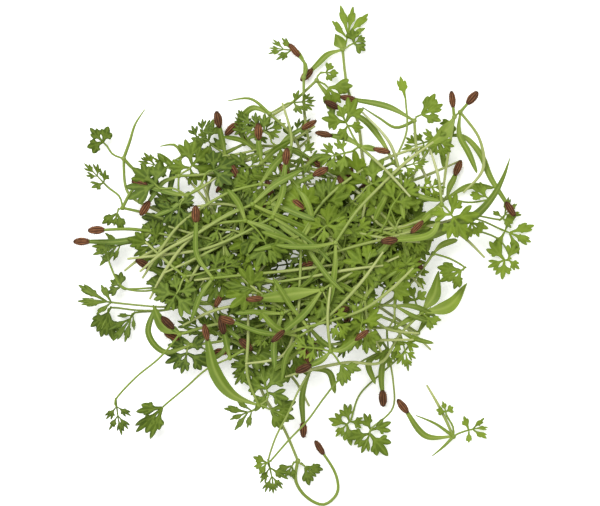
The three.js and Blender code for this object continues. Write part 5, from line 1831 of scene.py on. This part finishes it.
@dataclass(frozen=True)
class InnerGrowth:
    """A rule for further seedlings inside one part of the heap, between those of the frame.

    They stay a depth below the cover of the heap's tops, or below the base where that is higher.
    """

    seed: int
    count: int
    middle: tuple
    half_size: tuple
    leaf_count: int
    stem_length: tuple
    seed_leaf_length: tuple
    depth: float
    leaf_reach: tuple = (1.5, 6.0)
    leaf_span: tuple = (4.5, 8.0)
    stem_bend: float = 0.6
    heading: float | None = None
    heading_spread: float = 0.7
    stem_spread: float = 1.2
    seed_leaf_turn: float = 0.7
    seed_leaf_spread: float = 0.5
    path_shares: tuple = (0.2, 0.6, 1.0)
    seed_leaf_forms: tuple = (PLAIN, SLIM, SLIM)
    leaf_forms: tuple = (FERN, FAN, FERN, TREFOIL)
    husk_share: float = 0.25
    cover_reach: float = 3.0
    base: float = 0.0
    margin: float = 5.0
    tries: int = 14

    def place(self, draws: Draws) -> Array:
        """A place within this part of the heap."""
        turn, reach = draws.between(0, 2 * math.pi), math.sqrt(draws.one())
        return np.array([self.middle[0] + self.half_size[0] * reach * math.cos(turn),
                         self.middle[1] + self.half_size[1] * reach * math.sin(turn)])

    def path(self, start: Array, angle: float, length: float, draws: Draws) -> list:
        """A gently bent way from a place."""
        bend = draws.between(-self.stem_bend, self.stem_bend)
        ways = [(angle + bend * share, length * share) for share in self.path_shares]
        return [[float(start[0] + reach * math.cos(way)), float(start[1] + reach * math.sin(way))]
                for way, reach in ways]

    def entry(self, draws: Draws) -> Seedling:
        """One seedling in plan."""
        crown = self.place(draws)
        inwards = math.atan2(self.middle[1] - crown[1], self.middle[0] - crown[0])
        stem_way = inwards + draws.between(-self.stem_spread, self.stem_spread)
        if self.heading is not None:
            back = math.cos(stem_way - self.heading) < 0
            spread = draws.between(-self.heading_spread, self.heading_spread)
            stem_way = self.heading + spread + (math.pi if back else 0)
        stem = self.path(crown, stem_way, draws.between(*self.stem_length), draws)
        seed_leaves = []
        for turn in (self.seed_leaf_turn, -self.seed_leaf_turn):
            husk = JOINED if draws.one() < self.husk_share else BARE
            way = stem_way + math.pi + turn + draws.between(-self.seed_leaf_spread, self.seed_leaf_spread)
            path = self.path(crown, way, draws.between(*self.seed_leaf_length), draws)
            form = self.seed_leaf_forms[draws.whole(len(self.seed_leaf_forms))]
            seed_leaves.append(SeedLeaf(path, husk, form))
        leaves = []
        away = draws.between(0, 2 * math.pi)
        for k in range(self.leaf_count):
            way = away + k * 2 * math.pi / self.leaf_count
            path = self.path(crown, way, draws.between(*self.leaf_reach), draws)
            span = draws.between(*self.leaf_span)
            tip = [path[-1][0] + span * math.cos(way), path[-1][1] + span * math.sin(way)]
            leaves.append(Leaf(self.leaf_forms[draws.whole(len(self.leaf_forms))], path[1:], tip))
        return Seedling([float(crown[0]), float(crown[1])], stem, seed_leaves, leaves)

    def holds(self, seedling: LaidSeedling) -> bool:
        """Whether all of a seedling lies within this part of the heap or close to it."""
        points = seedling.points[:, :2] - self.middle
        return bool((((points / (np.array(self.half_size) + self.margin)) ** 2).sum(axis=1) < 1).all())

    def lay(self, layers: list[HeightField], whole: HeightField) -> list[LaidSeedling]:
        """Lays the further seedlings on the heap as it was at several stages.

        Args:
            layers: the heap's height at those stages.
            whole: the heap's height at the end.

        Returns:
            The seedlings that stay below the whole heap's cover.
        """
        laid = []
        cover = np.clip(whole.cover(self.cover_reach, self.depth), self.base, whole.tops.max())
        for number in range(self.count):
            draws = Draws(self.seed + number)
            layer = layers[number % len(layers)]
            for _ in range(self.tries):
                trial = layer.copy()
                seedling = LaidSeedling.laid(trial, self.entry(draws), draws)
                if seedling.height_over(whole, cover) < 0 and self.holds(seedling):
                    layer.tops = trial.tops
                    laid.append(seedling)
                    break
        log.info("%d further seedlings of %d lie inside", len(laid), self.count)
        return laid


GROWTH = (
    # Leaves piled up at the left and, looser, at the right
    InnerGrowth(1000, 70, (-20.0, 4.5), (15.0, 11.0), 3, (8.0, 18.0), (5.0, 9.0), 0.6, base=8.0),
    InnerGrowth(1500, 24, (-20.5, 12.0), (8.0, 5.0), 3, (6.0, 14.0), (5.0, 9.0), 0.0, base=10.5),
    InnerGrowth(2000, 40, (9.5, 3.5), (15.0, 11.0), 3, (8.0, 20.0), (5.0, 9.0), 1.4),
    # Looser growth round them, with gaps
    InnerGrowth(3000, 34, (-5.0, 18.0), (11.0, 6.5), 2, (10.0, 18.0), (5.0, 10.0), 0.0, base=7.0),
    InnerGrowth(3500, 16, (18.0, 16.0), (9.0, 7.0), 1, (12.0, 24.0), (6.0, 12.0), 0.4, base=3.5),
    InnerGrowth(4000, 20, (-11.0, -13.0), (17.0, 8.0), 2, (12.0, 24.0), (5.0, 10.0), 0.4, base=4.0),
    InnerGrowth(4300, 7, (-4.0, -22.0), (8.0, 5.0), 2, (12.0, 20.0), (5.0, 10.0), 0.2, base=4.0),
    InnerGrowth(4500, 40, (13.5, -11.5), (8.5, 9.0), 2, (10.0, 20.0), (6.0, 12.0), 0.0, base=8.5),
    # Long strands that lie across all of it
    InnerGrowth(5000, 36, (-12.0, 4.0), (18.0, 14.0), 0, (24.0, 42.0), (9.0, 17.0), -1.6, heading=0.1),
    InnerGrowth(5300, 36, (12.0, 6.0), (17.0, 15.0), 0, (24.0, 42.0), (9.0, 17.0), -1.6, heading=0.6),
    InnerGrowth(5600, 44, (4.0, -11.0), (15.0, 12.0), 0, (20.0, 34.0), (8.0, 15.0), -1.6, heading=0.7),
)


@dataclass
class Heap:
    """The whole heap: the frame's seedlings, and further ones inside."""

    layer_after: tuple = (3, 8, 13, 18, 24)
    inner: tuple = GROWTH
    bristle_vein: float = 0.6
    greens: Greens = field(default_factory=Greens)

    def lay(self) -> list[LaidSeedling]:
        """Lays all seedlings, those of the frame first."""
        field_of_heap = HeightField()
        laid, layers = [], []
        for i, entry in enumerate(SEEDLINGS):
            laid.append(LaidSeedling.laid(field_of_heap, entry, Draws(SEED + i)))
            if i + 1 in self.layer_after:
                layers.append(field_of_heap.copy())
        for growth in self.inner:
            laid.extend(growth.lay(layers, field_of_heap))
        return laid

    def build(self) -> None:
        """Builds every piece and joins it to the frame."""
        finishes = (STEM_SKIN, SEED_LEAF, TRUE_LEAF, HUSK_SKIN)
        stem, seed, true, husk = (finish.material() for finish in finishes)
        laid = self.lay()
        for owner, seedling in enumerate(laid, start=1):
            self.greens.grow(owner, seedling, Draws(FORM_SEED + owner))
        tubes = self.greens.lines.tubes(stem)
        for owner in range(1, len(laid) + 1):
            points, triangles, values = tubes.of_owner(owner)
            self.greens.drafts[owner].add(points, triangles, STEM_FINISH, **values)
            own = owner <= len(SEEDLINGS)
            name = f"green_seedling_{owner:02d}"
            if not own:
                name = f"inner_seedling_{owner - len(SEEDLINGS):02d}"
            piece = self.greens.drafts[owner].build(name, [stem, seed, true])
            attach(piece, "root")
            if own:
                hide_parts(f"seedling_{owner:02d}")
            log.info("%s: %d triangles", name, len(piece.data.polygons))
        bristles = self.greens.bristles.tubes(husk)
        for (owner, own_node), draft in self.greens.husks.items():
            points, triangles, values = bristles.of_owner(2 * owner + own_node)
            draft.add(points, triangles, 0, along=values[ALONG], tone=values[TONE], vein=self.bristle_vein)
            name = f"ribbed_husk_{owner:02d}" if own_node else f"held_husks_{owner:02d}"
            piece = draft.build(name, [husk])
            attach(piece, "root")
            if own_node:
                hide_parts(f"husk_{owner:02d}")
            log.info("%s: %d triangles", name, len(piece.data.polygons))


@dataclass
class Studio:
    """A plain pale floor, soft light from above and the camera straight over the heap, in metres."""

    view_width: float = 0.114
    distance: float = 0.5
    middle: tuple = (-0.00039, 0.0006)
    level: float = 0.007
    sensor: float = 36.0
    clip_start: float = 0.01

    # Each light's name, place, size and power
    lights: tuple = (("soft_key", (-0.22, 0.3, 0.62), 0.5, 5.6), ("soft_fill", (0.35, -0.25, 0.5), 0.6, 1.6))
    surroundings: float = 0.4

    # The floor, which glows a little to stay pale
    floor_size: float = 1.2
    floor_colour: str = "#F6F6F4"
    floor_roughness: float = 0.9
    floor_specular: float = 0.1
    floor_glow: float = 0.4

    def build(self) -> None:
        """Builds the floor, the lights, the world and the camera."""
        self.floor()
        for light in self.lights:
            self.light(*light)
        scene = bpy.context.scene
        scene.world = bpy.data.worlds.new("studio")
        scene.world.use_nodes = True
        set_inputs(scene.world.node_tree.nodes["Background"],
                   {"Color": (1, 1, 1, 1), "Strength": self.surroundings})
        scene.view_settings.view_transform = "Standard"
        data = bpy.data.cameras.new("camera")
        data.sensor_width = self.sensor
        data.lens = self.sensor * self.distance / self.view_width
        data.clip_start = self.clip_start
        camera = bpy.data.objects.new("camera", data)
        camera.location = (*self.middle, self.level + self.distance)
        scene.collection.objects.link(camera)
        scene.camera = camera

    def floor(self) -> None:
        """A plain matt white board under the heap."""
        half = self.floor_size / 2
        corners = [(-half, -half, 0), (half, -half, 0), (half, half, 0), (-half, half, 0)]
        mesh = bpy.data.meshes.new("floor")
        mesh.from_pydata(corners, [], [(0, 1, 2, 3)])
        material = bpy.data.materials.new("matt_white_board")
        material.use_nodes = True
        set_inputs(material.node_tree.nodes["Principled BSDF"], {
            "Base Color": linear(self.floor_colour),
            "Roughness": self.floor_roughness,
            "Specular IOR Level": self.floor_specular,
            "Emission Color": (1, 1, 1, 1),
            "Emission Strength": self.floor_glow,
        })
        mesh.materials.append(material)
        floor = bpy.data.objects.new("floor", mesh)
        bpy.context.scene.collection.objects.link(floor)

    def light(self, name: str, place: tuple, size: float, power: float) -> None:
        """A soft square light that faces the heap."""
        data = bpy.data.lights.new(name, "AREA")
        data.size = size
        data.energy = power
        made = bpy.data.objects.new(name, data)
        made.location = place
        made.rotation_euler = (-Vector(place)).to_track_quat("-Z", "Y").to_euler()
        bpy.context.scene.collection.objects.link(made)


def main() -> None:
    """Builds the heap and the studio round it."""
    logging.basicConfig(level=logging.INFO, format="%(name)s: %(message)s")
    Heap().build()
    Studio().build()


if __name__ == "__main__":
    main()
